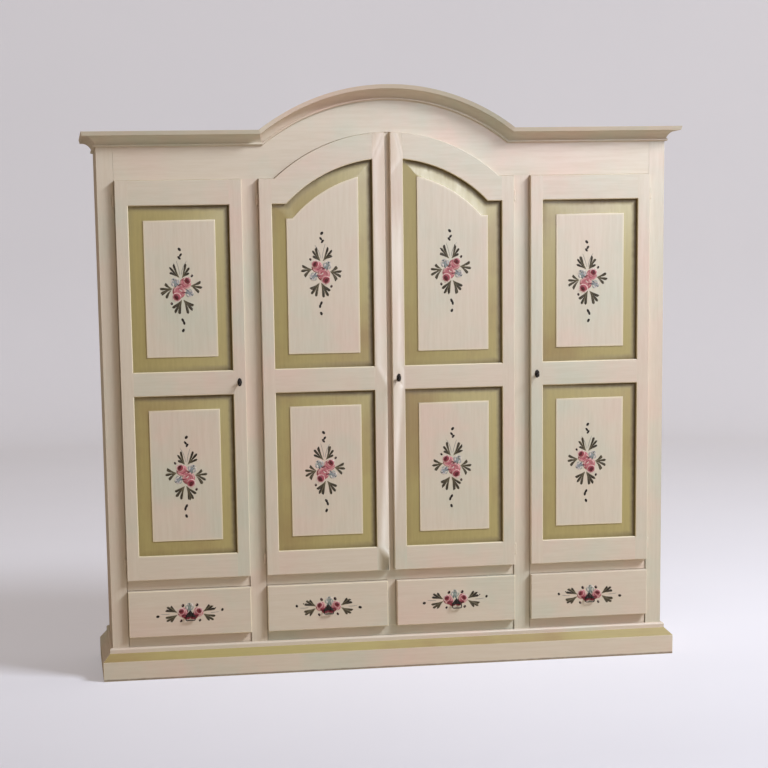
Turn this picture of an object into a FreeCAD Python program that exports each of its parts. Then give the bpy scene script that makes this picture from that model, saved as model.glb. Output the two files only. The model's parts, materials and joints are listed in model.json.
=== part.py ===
import FreeCAD, Part
import math
import os
from FreeCAD import Vector

os.makedirs("parts", exist_ok=True)

# A painted country wardrobe with four framed doors, the two in the middle under an arch,
# and four drawers below them. Millimetres. X runs to the right, the front faces -Y, Z is up.
# The origin is on the floor, at the middle of the overall width and depth.

# Carcass
carcass_depth = 450.0
straight_height = 2084.0
panel_thickness = 20.0
back_thickness = 12.0
back_board_count = 9
board_chamfer = 1.5
top_thickness = 22.0
top_front_board_share = 0.5
floor_thickness = 18.0
base_panel_top = 122.0
joint_gap = 0.4

# Face frame
face_thickness = 22.0
outer_stile_width = 62.0
inner_stile_width = 62.0
outer_opening_width = 480.0
inner_opening_width = 487.0
post_front_width = 18.0
post_back_width = 32.0
muntin_width = 33.0
bottom_rail_top = 162.5
bottom_rail_height = 78.5
drawer_opening_height = 183.0
middle_rail_height = 40.0
frieze_height = 177.5
rail_recess = 4.0
rail_groove_width = 3.0
rail_groove_depth = 6.0
arch_rise = 168.5
arch_shoulder_width = 61.3
stop_height = 12.0
stop_end_gap = 50.0
stop_shoulder_length = 50.0

# Cornice, its height and its projections from the face frame
cornice_height = 54.0
cornice_projection = 54.0
cornice_fillet_height = 15.0
cove_top_projection = 50.0
cornice_bead_height = 10.0
cornice_bead_projection = 10.0
cornice_foot_projection = 5.0
arch_frieze_width = 119.0

# Plinth, its heights and its projections from the face frame
plinth_projection = 40.0
plinth_board_thickness = 22.0
plinth_board_height = 76.0
plinth_slope_height = 28.0
plinth_cap_projection = 12.0
plinth_cap_height = 20.0
plinth_cap_round = 8.0
plinth_block_width = 60.0
plinth_block_count = 7

# Doors
door_gap = 1.5
door_proud = 22.0
door_sink = 5.0
door_stile_width = 49.0
door_top_rail = 95.0
door_bottom_rail = 95.0
door_middle_rail = 93.0
lower_panel_height = 613.0
door_edge_chamfer = 2.0
tenon_length = 22.0
tenon_thickness = 8.0
tenon_shoulder = 12.0
tenon_clearance = 0.15
arch_rail_width = 98.5

# Door panels, depths below the face of the door
panel_recess = 14.0
panel_bevel_rise = 6.0
panel_field_recess = 5.0
panel_edge_thickness = 6.0
panel_border = 54.0
panel_tongue = 8.0
panel_clearance = 0.2
panel_shadow_gap = 0.3

# Screw-in barrel hinges
hinge_barrel_radius = 4.5
hinge_half_length = 20.0
hinge_side_clearance = 0.4
hinge_face_clearance = 0.3
hinge_leaf_gap = 0.3
hinge_pin_radius = 2.2
hinge_pin_clearance = 0.08
hinge_pin_length = 15.0
hinge_cap_height = 2.5
hinge_shank_radius = 2.5
hinge_shank_clearance = 0.1
hinge_door_shank = 24.0
hinge_frame_shank = 20.0
hinge_shank_tilt = 25.0
low_hinge_above_door_bottom = 63.0
high_hinge_below_shoulder = 75.0

# Rim locks with their keys
lock_case_width = 45.0
lock_case_height = 70.0
lock_case_depth = 12.0
lock_case_wall = 1.5
lock_case_edge_gap = 1.5
lock_screw_inset = 6.0
lock_bolt_height = 12.0
lock_bolt_thickness = 5.0
lock_bolt_length = 30.0
lock_bolt_clearance = 0.3
lock_bolt_back_gap = 0.6
lock_bolt_throw = 10.0
bolt_mortise_spare = 2.0
strike_thickness = 1.5
strike_height = 46.0
strike_depth = 13.0
strike_clearance = 0.1
strike_inset = 1.0
strike_screw_inset = 8.0
escutcheon_width = 17.0
escutcheon_height = 31.0
escutcheon_thickness = 1.2
keyhole_radius = 3.6
keyhole_slot_width = 3.6
keyhole_slot_drop = 9.0
key_shaft_radius = 3.0
key_neck_length = 9.0
key_bow_length = 21.0
key_bow_height = 24.0
key_bow_thickness = 3.0
key_bow_hole_radius = 7.0
key_collar_radius = 4.2
key_collar_length = 2.5
key_bit_reach = 8.0
key_bit_length = 3.2
key_bit_thickness = 2.0
key_end_gap = 0.6

# Bolts inside the passive door
slip_bolt_radius = 4.0
slip_bolt_clearance = 0.08
slip_bolt_length = 120.0
slip_bolt_edge_gap = 3.0
slip_bolt_throw = 12.0
slip_bolt_hole_spare = 3.0
slip_bolt_hole_clearance = 0.4
slip_bolt_inset = 24.5
slip_guide_width = 22.0
slip_guide_height = 12.0
slip_guide_plate = 2.0
slip_guide_wall = 2.0
slip_guide_length = 90.0
slip_knob_radius = 4.0
slip_knob_length = 9.0
slip_screw_inset = 20.0
slip_screw_side = 7.5

# Drawers
drawer_side_thickness = 12.0
drawer_side_height = 138.0
drawer_box_gap = 4.0
drawer_box_lift = 9.0
drawer_back_height = 112.0
drawer_bottom_thickness = 6.0
drawer_bottom_lift = 8.0
drawer_bottom_groove = 5.0
drawer_bottom_clearance = 0.1
runner_height = 18.0
runner_lap = 16.0
runner_clearance = 0.3
guide_clearance = 1.0
guide_height = 30.0
drawer_stop_gap = 0.3
drawer_stop_length = 37.7

# Drop pulls
pull_rise = -11.6
pull_plate_half_width = 16.2
pull_plate_height = 19.0
pull_plate_foot = 3.2
pull_plate_shoulder = 2.0
pull_plate_tip_radius = 5.4
pull_plate_thickness = 2.5
pull_boss_radius = 4.5
pull_boss_length = 3.0
pull_boss_rise = 8.5
pull_ear_radius = 3.8
pull_ear_width = 3.6
pull_ear_offset = 12.0
pull_wire_radius = 2.0
pull_wire_clearance = 0.08
pull_axis_reach = 9.0
pull_pin_end = 9.2
pull_top_half_width = 17.0
pull_bottom_half_width = 18.2
pull_drop = 17.2
pull_corner_radius = 4.5
pull_stem_radius = 2.5
pull_stem_length = 18.0
pull_stem_clearance = 0.05

# Round-head wood screws
screw_radius = 1.6
screw_clearance = 0.1
screw_length = 14.0
screw_head_radius = 3.0
screw_head_height = 1.4

# Inside fittings
shelf_drop = 128.5
shelf_thickness = 18.0
shelf_setback = 20.0
shelf_side_gap = 0.3
batten_width = 20.0
batten_height = 28.0
rail_radius = 12.5
rail_drop = 70.0
socket_radius = 19.0
socket_depth = 16.0
socket_floor = 4.0
rail_fit = 0.2

# One overrun for all cuts
overrun = 5.0

# Places worked out from the sizes
inner_opening_inner = post_front_width / 2
inner_opening_outer = inner_opening_inner + inner_opening_width
outer_opening_inner = inner_opening_outer + inner_stile_width
outer_opening_outer = outer_opening_inner + outer_opening_width
half_width = outer_opening_outer + outer_stile_width
front = cornice_projection - (carcass_depth + cornice_projection) / 2
back = front + carcass_depth
face_back = front + face_thickness
rail_front = front + rail_recess
back_inside = back - back_thickness
side_inside = half_width - panel_thickness
partition_centre = (outer_opening_inner + inner_opening_outer) / 2
partition_outer = partition_centre + panel_thickness / 2
partition_inner = partition_centre - panel_thickness / 2
drawer_opening_top = bottom_rail_top + drawer_opening_height
door_opening_bottom = drawer_opening_top + middle_rail_height
door_opening_top = straight_height - frieze_height
top_underside = straight_height - top_thickness
door_front = front - door_proud
door_back = front + door_sink
door_bottom = door_opening_bottom + door_gap
door_shoulder = door_opening_top - door_gap
arch_half_width = inner_opening_outer - arch_shoulder_width
arch_opening_radius = (arch_half_width * arch_half_width + arch_rise * arch_rise) / (2 * arch_rise)
arch_centre_height = door_opening_top + arch_rise - arch_opening_radius
arch_moulding_radius = arch_opening_radius + arch_frieze_width
arch_top_radius = arch_moulding_radius + cornice_height
door_arch_radius = arch_opening_radius - door_gap
arch_recess_radius = door_arch_radius - arch_rail_width
lower_recess_bottom = door_bottom + door_bottom_rail
lower_recess_top = lower_recess_bottom + lower_panel_height
upper_recess_bottom = lower_recess_top + door_middle_rail
upper_recess_top = door_shoulder - door_top_rail
lock_height = (lower_recess_top + upper_recess_bottom) / 2
hinge_offset = hinge_side_clearance + hinge_barrel_radius
hinge_y = front - hinge_face_clearance - hinge_barrel_radius
low_hinge_height = door_bottom + low_hinge_above_door_bottom
high_hinge_height = door_shoulder - high_hinge_below_shoulder
cornice_foot = straight_height - cornice_height
shelf_top = door_opening_top - shelf_drop
runner_top = bottom_rail_top + drawer_box_lift - runner_clearance
drawer_box_back = back_inside - drawer_stop_length - drawer_stop_gap
axis_y = Vector(0, 1, 0)


def block(x0, x1, y0, y1, z0, z1):
    """A box between two corners."""
    return Part.makeBox(x1 - x0, y1 - y0, z1 - z0, Vector(x0, y0, z0))


def mirrored(shape):
    """The same shape on the other side of the middle."""
    return shape.mirror(Vector(0, 0, 0), Vector(1, 0, 0))


def pair(shape):
    """A piece on the left and its twin on the right."""
    return [shape, mirrored(shape)]


def prism(wire, y0, y1):
    """A wire drawn in the XZ plane at y = 0, made a solid from y0 to y1."""
    face = Part.Face(wire)
    face.translate(Vector(0, y0, 0))
    return face.extrude(Vector(0, y1 - y0, 0))


def polygon(points):
    """A closed wire through points."""
    return Part.makePolygon(points + [points[0]])


def one(shapes):
    """Several overlapping solids fused to one."""
    body = shapes[0].fuse(shapes[1:]) if len(shapes) > 1 else shapes[0]
    return body.removeSplitter()


def screw(place, direction, sunk=False):
    """A screw with its head seated at a place: a round head, or one that is countersunk."""
    shank = Part.makeCylinder(screw_radius, screw_length, place, direction)
    radii = (screw_radius, screw_head_radius) if sunk else (screw_head_radius, screw_radius)
    head = Part.makeCone(radii[0], radii[1], screw_head_height, place, direction * -1)
    return one([shank, head])


def screw_hole(place, direction):
    """Hole for a screw's shank, a little wider and longer than it."""
    return Part.makeCylinder(screw_radius + screw_clearance, screw_length + screw_clearance,
                             place, direction)


def drilled(body, holes):
    """A body less the holes that it shares with its screws."""
    for hole in holes:
        body = body.cut(hole)
    return body


def save(name, shapes):
    """Write one sub-part, a solid or a group of separate solids."""
    solids = []
    for shape in shapes:
        solids.extend(shape.Solids)
    for solid in solids:
        if not solid.isValid():
            raise RuntimeError(name + " has a solid that is not valid")
    body = solids[0] if len(solids) == 1 else Part.makeCompound(solids)
    body.exportStep("parts/" + name + ".step")


def arch_height(radius, x):
    """Height of a circle about the arch's centre, at a place across the front."""
    return arch_centre_height + math.sqrt(radius * radius - x * x)


def arch_reach(radius, height):
    """How far from the middle a circle about the arch's centre meets a height."""
    rise = height - arch_centre_height
    return math.sqrt(radius * radius - rise * rise)


def arc_edge(radius, x0, x1):
    """Part of a circle about the arch's centre, between two places across the front."""
    middle = (x0 + x1) / 2
    return Part.Arc(Vector(x0, 0, arch_height(radius, x0)),
                    Vector(middle, 0, arch_height(radius, middle)),
                    Vector(x1, 0, arch_height(radius, x1))).toShape()


def leaf_outline(x_hinge, x_free, z_low, shoulder, radius):
    """Outline of a left-hand door or its recess: square, or with its top under the arch."""
    if radius is None:
        return polygon([Vector(x_hinge, 0, z_low), Vector(x_free, 0, z_low),
                        Vector(x_free, 0, shoulder), Vector(x_hinge, 0, shoulder)])
    x_spring = -arch_reach(radius, shoulder)
    top_free = Vector(x_free, 0, arch_height(radius, x_free))
    spring = Vector(x_spring, 0, shoulder)
    lines = Part.makePolygon([spring, Vector(x_hinge, 0, shoulder), Vector(x_hinge, 0, z_low),
                              Vector(x_free, 0, z_low), top_free])
    return Part.Wire(lines.Edges + [arc_edge(radius, x_free, x_spring)])


# Carcass panels
def side_panels():
    side = block(-half_width, -side_inside, face_back, back, 0, top_underside)
    return pair(side)


def partitions():
    tall = block(-partition_outer, -partition_inner, face_back, back_inside,
                 base_panel_top, top_underside)
    low = block(-panel_thickness / 2, panel_thickness / 2, face_back, back_inside,
                base_panel_top, door_opening_bottom - floor_thickness)
    return pair(tall) + [low]


def back_boards():
    boards = []
    width = 2 * side_inside / back_board_count
    for number in range(back_board_count):
        left = -side_inside + number * width
        board = block(left, left + width, back_inside, back, base_panel_top, top_underside)
        edges = [e for e in board.Edges if abs(e.Vertexes[0].X - e.Vertexes[-1].X) < board_chamfer
                 and abs(e.Vertexes[0].Y - e.Vertexes[-1].Y) < board_chamfer]
        boards.append(board.makeChamfer(board_chamfer, edges))
    return boards


def top_boards():
    seam = face_back + (back - face_back) * top_front_board_share
    return [block(-half_width, half_width, face_back, seam, top_underside, straight_height),
            block(-half_width, half_width, seam, back, top_underside, straight_height)]


def floor_panels():
    low = door_opening_bottom - floor_thickness
    side = block(-side_inside, -partition_outer, face_back, back_inside, low, door_opening_bottom)
    middle = block(-partition_inner, partition_inner, face_back, back_inside, low, door_opening_bottom)
    base = block(-side_inside, side_inside, face_back, back,
                 base_panel_top - floor_thickness, base_panel_top)
    return pair(side) + [middle, base]


# Face frame
def shank_axis():
    """Way in which a frame shank leaves its barrel, into the stile and away from the door."""
    tilt = math.radians(hinge_shank_tilt)
    return Vector(-math.sin(tilt), math.cos(tilt), 0)


def frame_shank(x_axis, height, spare):
    """The shank of a hinge's lower half, or with spare the hole that it sits in."""
    z = height - hinge_half_length / 2
    return Part.makeCylinder(hinge_shank_radius + spare, hinge_frame_shank + spare,
                             Vector(x_axis, hinge_y, z), shank_axis())


def bolt_mortise(x_face, inward):
    """Pocket for a lock bolt and its strike plate in the side of an upright."""
    y0 = door_back + lock_case_depth - lock_case_wall - lock_bolt_back_gap - lock_bolt_thickness
    depth = lock_bolt_throw + bolt_mortise_spare
    ends = sorted([x_face, x_face + inward * depth])
    half = lock_bolt_height / 2 + lock_bolt_clearance
    hole = block(ends[0], ends[1], y0 - lock_bolt_clearance,
                 y0 + lock_bolt_thickness + lock_bolt_clearance,
                 lock_height - half, lock_height + half)
    return one([hole, strike_block(x_face, inward, strike_clearance)])


def strike_block(x_face, inward, spare):
    """Outside of a strike plate let in flush, or with spare its bed."""
    ends = sorted([x_face, x_face + inward * (strike_thickness + spare)])
    y0 = door_back + strike_inset
    return block(ends[0], ends[1], y0 - spare, y0 + strike_depth + spare,
                 lock_height - strike_height / 2 - spare, lock_height + strike_height / 2 + spare)


def face_stiles():
    outer = block(-half_width, -outer_opening_outer, front, face_back, 0, straight_height)
    inner = block(-outer_opening_inner, -inner_opening_outer, front, face_back, 0, door_opening_top)
    for height in (low_hinge_height, high_hinge_height):
        outer = outer.cut(frame_shank(-hinge_axis_x(outer_opening_outer), height, hinge_shank_clearance))
        inner = inner.cut(frame_shank(-hinge_axis_x(inner_opening_outer), height, hinge_shank_clearance))
    inner = inner.cut(bolt_mortise(-outer_opening_inner, 1))
    inner = drilled(inner, [screw_hole(*spot) for spot in strike_screws(-outer_opening_inner, 1)])
    return pair(outer) + pair(inner)


def centre_posts():
    """The upright between the middle doors, with its wider stop behind, and the drawers' muntin."""
    top = arch_height(arch_opening_radius, post_front_width / 2)
    stop_front = door_back + hinge_leaf_gap
    stem = block(-post_front_width / 2, post_front_width / 2, rail_front, stop_front,
                 door_opening_bottom, top)
    stop_top = arch_height(arch_opening_radius, post_back_width / 2)
    stop = block(-post_back_width / 2, post_back_width / 2, stop_front, face_back,
                 door_opening_bottom, stop_top)
    post = one([stem, stop]).cut(bolt_mortise(post_back_width / 2, -1))
    post = drilled(post, [screw_hole(*spot) for spot in strike_screws(post_back_width / 2, -1)])
    muntin = block(-muntin_width / 2, muntin_width / 2, rail_front, face_back,
                   bottom_rail_top, drawer_opening_top)
    return [post, muntin]


def rail(x0, x1, z0, z1):
    """A rail set back between two uprights, with a shadow groove at each end."""
    body = block(x0, x1, rail_front, face_back, z0, z1)
    for x in (x0, x1 - rail_groove_width):
        groove = block(x, x + rail_groove_width, rail_front, rail_front + rail_groove_depth, z0, z1)
        body = body.cut(groove)
    return body


def slip_bolt_x():
    return -inner_opening_inner - door_gap - slip_bolt_inset


def slip_bolt_y():
    return door_back + slip_guide_plate + slip_guide_wall + slip_bolt_radius


def slip_bolt_hole(z0, z1):
    return Part.makeCylinder(slip_bolt_radius + slip_bolt_hole_clearance, z1 - z0,
                             Vector(slip_bolt_x(), slip_bolt_y(), z0))


def face_rails():
    rails = []
    for low, high in ((bottom_rail_top - bottom_rail_height, bottom_rail_top),
                      (drawer_opening_top, door_opening_bottom)):
        rails += pair(rail(-outer_opening_outer, -outer_opening_inner, low, high))
        middle = rail(-inner_opening_outer, inner_opening_outer, low, high)
        if high == door_opening_bottom:
            depth = slip_bolt_throw + slip_bolt_hole_spare
            middle = middle.cut(slip_bolt_hole(high - depth, high + overrun))
        rails.append(middle)
    return rails


def frieze():
    """The board above the doors, with the arched opening below and the crest above."""
    end = outer_opening_outer - joint_gap
    spring = arch_reach(arch_opening_radius, door_opening_top)
    crest = arch_reach(arch_top_radius, straight_height)
    low = Part.makePolygon([Vector(-spring, 0, door_opening_top), Vector(-end, 0, door_opening_top),
                            Vector(-end, 0, straight_height), Vector(-crest, 0, straight_height)])
    high = Part.makePolygon([Vector(crest, 0, straight_height), Vector(end, 0, straight_height),
                             Vector(end, 0, door_opening_top), Vector(spring, 0, door_opening_top)])
    edges = low.Edges + [arc_edge(arch_top_radius, -crest, crest)] + high.Edges
    edges.append(arc_edge(arch_opening_radius, spring, -spring))
    board = prism(Part.Wire(edges), front, face_back)
    top = arch_height(arch_opening_radius, slip_bolt_x())
    return board.cut(slip_bolt_hole(top - overrun, top + slip_bolt_throw + slip_bolt_hole_spare))


def door_stops():
    """Laths behind the doors, under the frieze and on the middle rails."""
    y0 = door_back + hinge_leaf_gap
    laths = []
    low = door_opening_bottom
    high = door_opening_top
    for z0, z1 in ((low, low + stop_height), (high - stop_height, high)):
        laths += pair(block(-outer_opening_outer, -outer_opening_inner - stop_end_gap,
                            y0, face_back, z0, z1))
    laths += pair(block(-inner_opening_outer, -inner_opening_inner - stop_end_gap,
                        y0, face_back, low, low + stop_height))
    laths += pair(block(-inner_opening_outer, -inner_opening_outer + stop_shoulder_length,
                        y0, face_back, high - stop_height, high))
    return laths


# Plinth
def mitred_front(section, projection):
    """A moulding along the whole front, mitred at both ends. The section is drawn at x = 0."""
    length = 2 * (half_width + projection + overrun)
    run = section.extrude(Vector(length, 0, 0))
    run.translate(Vector(-length / 2, 0, 0))
    reach = projection + overrun
    keep = Part.Face(polygon([Vector(-half_width, front, -overrun), Vector(half_width, front, -overrun),
                              Vector(half_width + reach, front - reach, -overrun),
                              Vector(-half_width - reach, front - reach, -overrun)]))
    return run.common(keep.extrude(Vector(0, 0, straight_height + 2 * overrun)))


def mitred_return(section, projection):
    """The same moulding along the left side, mitred at the front and square at the back."""
    turned = section.copy()
    turned.translate(Vector(0, -front, 0))
    turned.rotate(Vector(0, 0, 0), Vector(0, 0, 1), -90)
    turned.translate(Vector(-half_width, front - projection - overrun, 0))
    run = turned.extrude(Vector(0, back - front + projection + overrun, 0))
    reach = projection + overrun
    keep = Part.Face(polygon([Vector(-half_width, front, -overrun),
                              Vector(-half_width - reach, front - reach, -overrun),
                              Vector(-half_width - reach, back, -overrun),
                              Vector(-half_width, back, -overrun)]))
    return run.common(keep.extrude(Vector(0, 0, straight_height + 2 * overrun)))


def section_point(projection, height):
    """A point of a moulding's section at x = 0, out from the face frame."""
    return Vector(0, front - projection, height)


def plinth_boards():
    inside = plinth_projection - plinth_board_thickness
    wire = polygon([section_point(inside, 0), section_point(plinth_projection, 0),
                    section_point(plinth_projection, plinth_board_height),
                    section_point(inside, plinth_board_height)])
    section = Part.Face(wire)
    return [mitred_front(section, plinth_projection)] + pair(mitred_return(section, plinth_projection))


def plinth_caps():
    """The moulding on the plinth: a slope up from the board, and a ledge with a rounded top edge."""
    slope_top = plinth_board_height + plinth_slope_height
    top = slope_top + plinth_cap_height
    flat = plinth_cap_projection - plinth_cap_round
    bend = plinth_cap_round * (1 - math.sqrt(1 / 2))
    lines = Part.makePolygon([section_point(flat, top), section_point(0, top),
                              section_point(0, plinth_board_height),
                              section_point(plinth_projection, plinth_board_height),
                              section_point(plinth_cap_projection, slope_top),
                              section_point(plinth_cap_projection, top - plinth_cap_round)])
    arc = Part.Arc(section_point(plinth_cap_projection, top - plinth_cap_round),
                   section_point(plinth_cap_projection - bend, top - bend),
                   section_point(flat, top)).toShape()
    section = Part.Face(Part.Wire(lines.Edges + [arc]))
    return [mitred_front(section, plinth_projection)] + pair(mitred_return(section, plinth_projection))


def plinth_blocks():
    """Glue blocks between the face frame and the plinth board."""
    blocks = []
    inside = plinth_projection - plinth_board_thickness
    spacing = (2 * half_width - plinth_block_width) / (plinth_block_count - 1)
    for number in range(plinth_block_count):
        left = -half_width + number * spacing
        blocks.append(block(left, left + plinth_block_width, front - inside, front,
                            0, plinth_board_height))
    return blocks


# Cornice
def cornice_section(foot):
    """Bead, cove and leaning fillet, from the foot height up. The section is drawn at x = 0."""
    bead_top = foot + cornice_bead_height
    fillet_foot = foot + cornice_height - cornice_fillet_height
    top = foot + cornice_height
    bulge = cornice_bead_projection
    bead = Part.Arc(section_point(cornice_foot_projection, foot),
                    section_point(bulge, foot + cornice_bead_height / 2),
                    section_point(cornice_foot_projection, bead_top)).toShape()
    run = cove_top_projection - cornice_foot_projection
    rise = fillet_foot - bead_top
    quarter = math.sqrt(1 / 2)
    cove = Part.Arc(section_point(cornice_foot_projection, bead_top),
                    section_point(cove_top_projection - run * quarter, fillet_foot - rise * (1 - quarter)),
                    section_point(cove_top_projection, fillet_foot)).toShape()
    lines = Part.makePolygon([section_point(cove_top_projection, fillet_foot),
                              section_point(cornice_projection, top), section_point(0, top),
                              section_point(0, foot), section_point(cornice_foot_projection, foot)])
    return Part.Face(Part.Wire([bead, cove] + lines.Edges))


def mitre_points():
    """Where the arched and the straight moulding meet, a little below their foot and above their top."""
    foot = Vector(arch_reach(arch_moulding_radius, cornice_foot), 0, cornice_foot)
    top = Vector(arch_reach(arch_top_radius, straight_height), 0, straight_height)
    along = top - foot
    along.normalize()
    return foot - along * overrun, top + along * overrun


def cornice_lengths():
    """The straight mouldings left and right of the arch, and the returns along the sides."""
    low, high = mitre_points()
    outer = half_width + cornice_projection + overrun
    keep = prism(polygon([Vector(-outer, 0, low.z), Vector(-low.x, 0, low.z),
                          Vector(-high.x, 0, high.z), Vector(-outer, 0, high.z)]),
                 front - cornice_projection - overrun, front)
    section = cornice_section(cornice_foot)
    straight = mitred_front(section, cornice_projection).common(keep)
    return pair(straight) + pair(mitred_return(section, cornice_projection))


def cornice_arch():
    low, high = mitre_points()
    section = cornice_section(arch_centre_height + arch_moulding_radius)
    ring = section.revolve(Vector(0, 0, arch_centre_height), axis_y, 360)
    top = arch_centre_height + arch_top_radius + overrun
    keep = prism(polygon([Vector(-low.x, 0, low.z), Vector(low.x, 0, low.z), Vector(high.x, 0, high.z),
                          Vector(high.x, 0, top), Vector(-high.x, 0, top), Vector(-high.x, 0, high.z)]),
                 front - cornice_projection - overrun, front)
    return ring.common(keep)


# Doors
def hinge_axis_x(opening_edge):
    """Distance of a hinge axis from the middle, for the opening's hinge edge."""
    return opening_edge - door_gap + hinge_offset


class Leaf:
    """Sizes of one left-hand door. Its right-hand twin is mirrored."""

    def __init__(self, opening_hinge, opening_free, stop_edge, arched):
        self.x_hinge = -(opening_hinge - door_gap)
        self.x_free = -(opening_free + door_gap)
        self.lock_edge = -(stop_edge + door_gap) - lock_case_edge_gap
        self.axis_x = -hinge_axis_x(opening_hinge)
        self.outer_radius = door_arch_radius if arched else None
        self.recess_radius = arch_recess_radius if arched else None
        self.key_x = self.x_free - door_stile_width / 2

    def recess(self, z_low, z_high, upper, grow):
        """Outline of a panel recess, grown outwards by a distance."""
        radius = self.recess_radius if upper else None
        if radius is not None:
            radius = radius + grow
        return leaf_outline(self.x_hinge + door_stile_width - grow, self.x_free - door_stile_width + grow,
                            z_low - grow, z_high + grow, radius)

    def recesses(self, grow):
        return [self.recess(upper_recess_bottom, upper_recess_top, True, grow),
                self.recess(lower_recess_bottom, lower_recess_top, False, grow)]


side_leaf = Leaf(outer_opening_outer, outer_opening_inner, outer_opening_inner, False)
middle_leaf = Leaf(inner_opening_outer, inner_opening_inner, post_back_width / 2 - door_gap, True)


def door_shank(leaf, height, spare):
    """The shank of a hinge's upper half, or with spare the hole in the door's edge."""
    z = height + hinge_leaf_gap + hinge_half_length / 2
    return Part.makeCylinder(hinge_shank_radius + spare, hinge_door_shank + spare,
                             Vector(leaf.axis_x, hinge_y, z), Vector(1, 0, 0))


def door_frame(leaf, has_lock):
    """Two stiles and three rails with tenons, grooved for the panels."""
    blank = prism(leaf_outline(leaf.x_hinge, leaf.x_free, door_bottom, door_shoulder, leaf.outer_radius),
                  door_front, door_back)
    rim = [edge for edge in blank.Edges if abs(edge.BoundBox.YMin - door_front) < door_edge_chamfer
           and abs(edge.BoundBox.YMax - door_front) < door_edge_chamfer]
    blank = blank.makeChamfer(door_edge_chamfer, rim)
    groove_front = door_front + panel_recess - panel_clearance
    groove_back = door_front + panel_recess + panel_edge_thickness + panel_clearance
    for hole in leaf.recesses(0):
        blank = blank.cut(prism(hole, door_front - overrun, door_back + overrun))
    for groove in leaf.recesses(panel_tongue):
        blank = blank.cut(prism(groove, groove_front, groove_back))
    top = arch_centre_height + arch_opening_radius
    x_rail_0 = leaf.x_hinge + door_stile_width
    x_rail_1 = leaf.x_free - door_stile_width
    y0, y1 = door_front - overrun, door_back + overrun
    hinge_stile = blank.common(block(leaf.x_hinge, x_rail_0, y0, y1, door_bottom, top))
    free_stile = blank.common(block(x_rail_1, leaf.x_free, y0, y1, door_bottom, top))
    spans = [(door_bottom, lower_recess_bottom), (lower_recess_top, upper_recess_bottom),
             (upper_recess_top, door_shoulder)]
    rails = []
    for number, (low, high) in enumerate(spans):
        tall = top if number == len(spans) - 1 else high
        piece = blank.common(block(x_rail_0, x_rail_1, y0, y1, low, tall))
        lift = 0
        for x, stile_side in ((x_rail_0, -1), (x_rail_1, 1)):
            if leaf.outer_radius is not None and number == len(spans) - 1 and stile_side == 1:
                lift = arch_height(leaf.recess_radius, x_rail_1) - low
            z0, z1 = low + lift + tenon_shoulder, high + lift - tenon_shoulder
            y_low = groove_back - panel_clearance
            ends = sorted([x - stile_side * tenon_shoulder, x + stile_side * tenon_length])
            tenon = block(ends[0], ends[1], y_low - tenon_thickness, y_low, z0, z1)
            ends = sorted([x - stile_side * overrun, x + stile_side * (tenon_length + tenon_clearance)])
            mortise = block(ends[0], ends[1], y_low - tenon_thickness - tenon_clearance,
                            y_low + tenon_clearance, z0 - tenon_clearance, z1 + tenon_clearance)
            piece = piece.fuse(tenon)
            if stile_side == -1:
                hinge_stile = hinge_stile.cut(mortise)
            else:
                free_stile = free_stile.cut(mortise)
        rails.append(piece.removeSplitter())
    for height in (low_hinge_height, high_hinge_height):
        hinge_stile = hinge_stile.cut(door_shank(leaf, height, hinge_shank_clearance))
    if has_lock:
        holes = [key_passage(leaf, y0, y1)] + [screw_hole(*spot) for spot in lock_screws(leaf)]
    else:
        holes = slip_screw_holes()
    return [hinge_stile] + [drilled(piece, holes) for piece in [free_stile] + rails]


def key_passage(leaf, y0, y1):
    """Hole for the key: a bore with a slot below it for the bit."""
    bore = Part.makeCylinder(keyhole_radius, y1 - y0, Vector(leaf.key_x, y0, lock_height), axis_y)
    half = keyhole_slot_width / 2
    slot = block(leaf.key_x - half, leaf.key_x + half, y0, y1,
                 lock_height - keyhole_slot_drop, lock_height)
    return one([bore, slot])


def door_panels(leaf):
    """Raised panels: a tongue in the groove, a bevelled border and a raised field."""
    panels = []
    spans = ((upper_recess_bottom, upper_recess_top, True), (lower_recess_bottom, lower_recess_top, False))
    edge_front = door_front + panel_recess
    bevel_front = edge_front - panel_bevel_rise
    for low, high, upper in spans:
        tongue = prism(leaf.recess(low, high, upper, panel_tongue - tenon_clearance),
                       edge_front, edge_front + panel_edge_thickness)
        foot = leaf.recess(low, high, upper, -panel_shadow_gap)
        foot.translate(Vector(0, edge_front, 0))
        rim = leaf.recess(low, high, upper, -panel_border)
        rim.translate(Vector(0, bevel_front, 0))
        bevel = Part.makeLoft([foot, rim], True, True)
        field = prism(leaf.recess(low, high, upper, -panel_border),
                      door_front + panel_field_recess, edge_front)
        panels.append(one([tongue, bevel, field]))
    return panels


def door_hinges(leaf):
    """Upper halves of both hinges: a barrel over the pin and a shank in the door's edge."""
    halves = []
    for height in (low_hinge_height, high_hinge_height):
        base = Vector(leaf.axis_x, hinge_y, height + hinge_leaf_gap)
        barrel = Part.makeCylinder(hinge_barrel_radius, hinge_half_length, base)
        top = Part.makeCone(hinge_barrel_radius, hinge_pin_radius, hinge_cap_height,
                            base + Vector(0, 0, hinge_half_length))
        shank = door_shank(leaf, height, 0)
        bore = Part.makeCylinder(hinge_pin_radius + hinge_pin_clearance,
                                 hinge_pin_length + hinge_leaf_gap, base)
        halves.append(one([barrel, top, shank]).cut(bore))
    return halves


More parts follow.
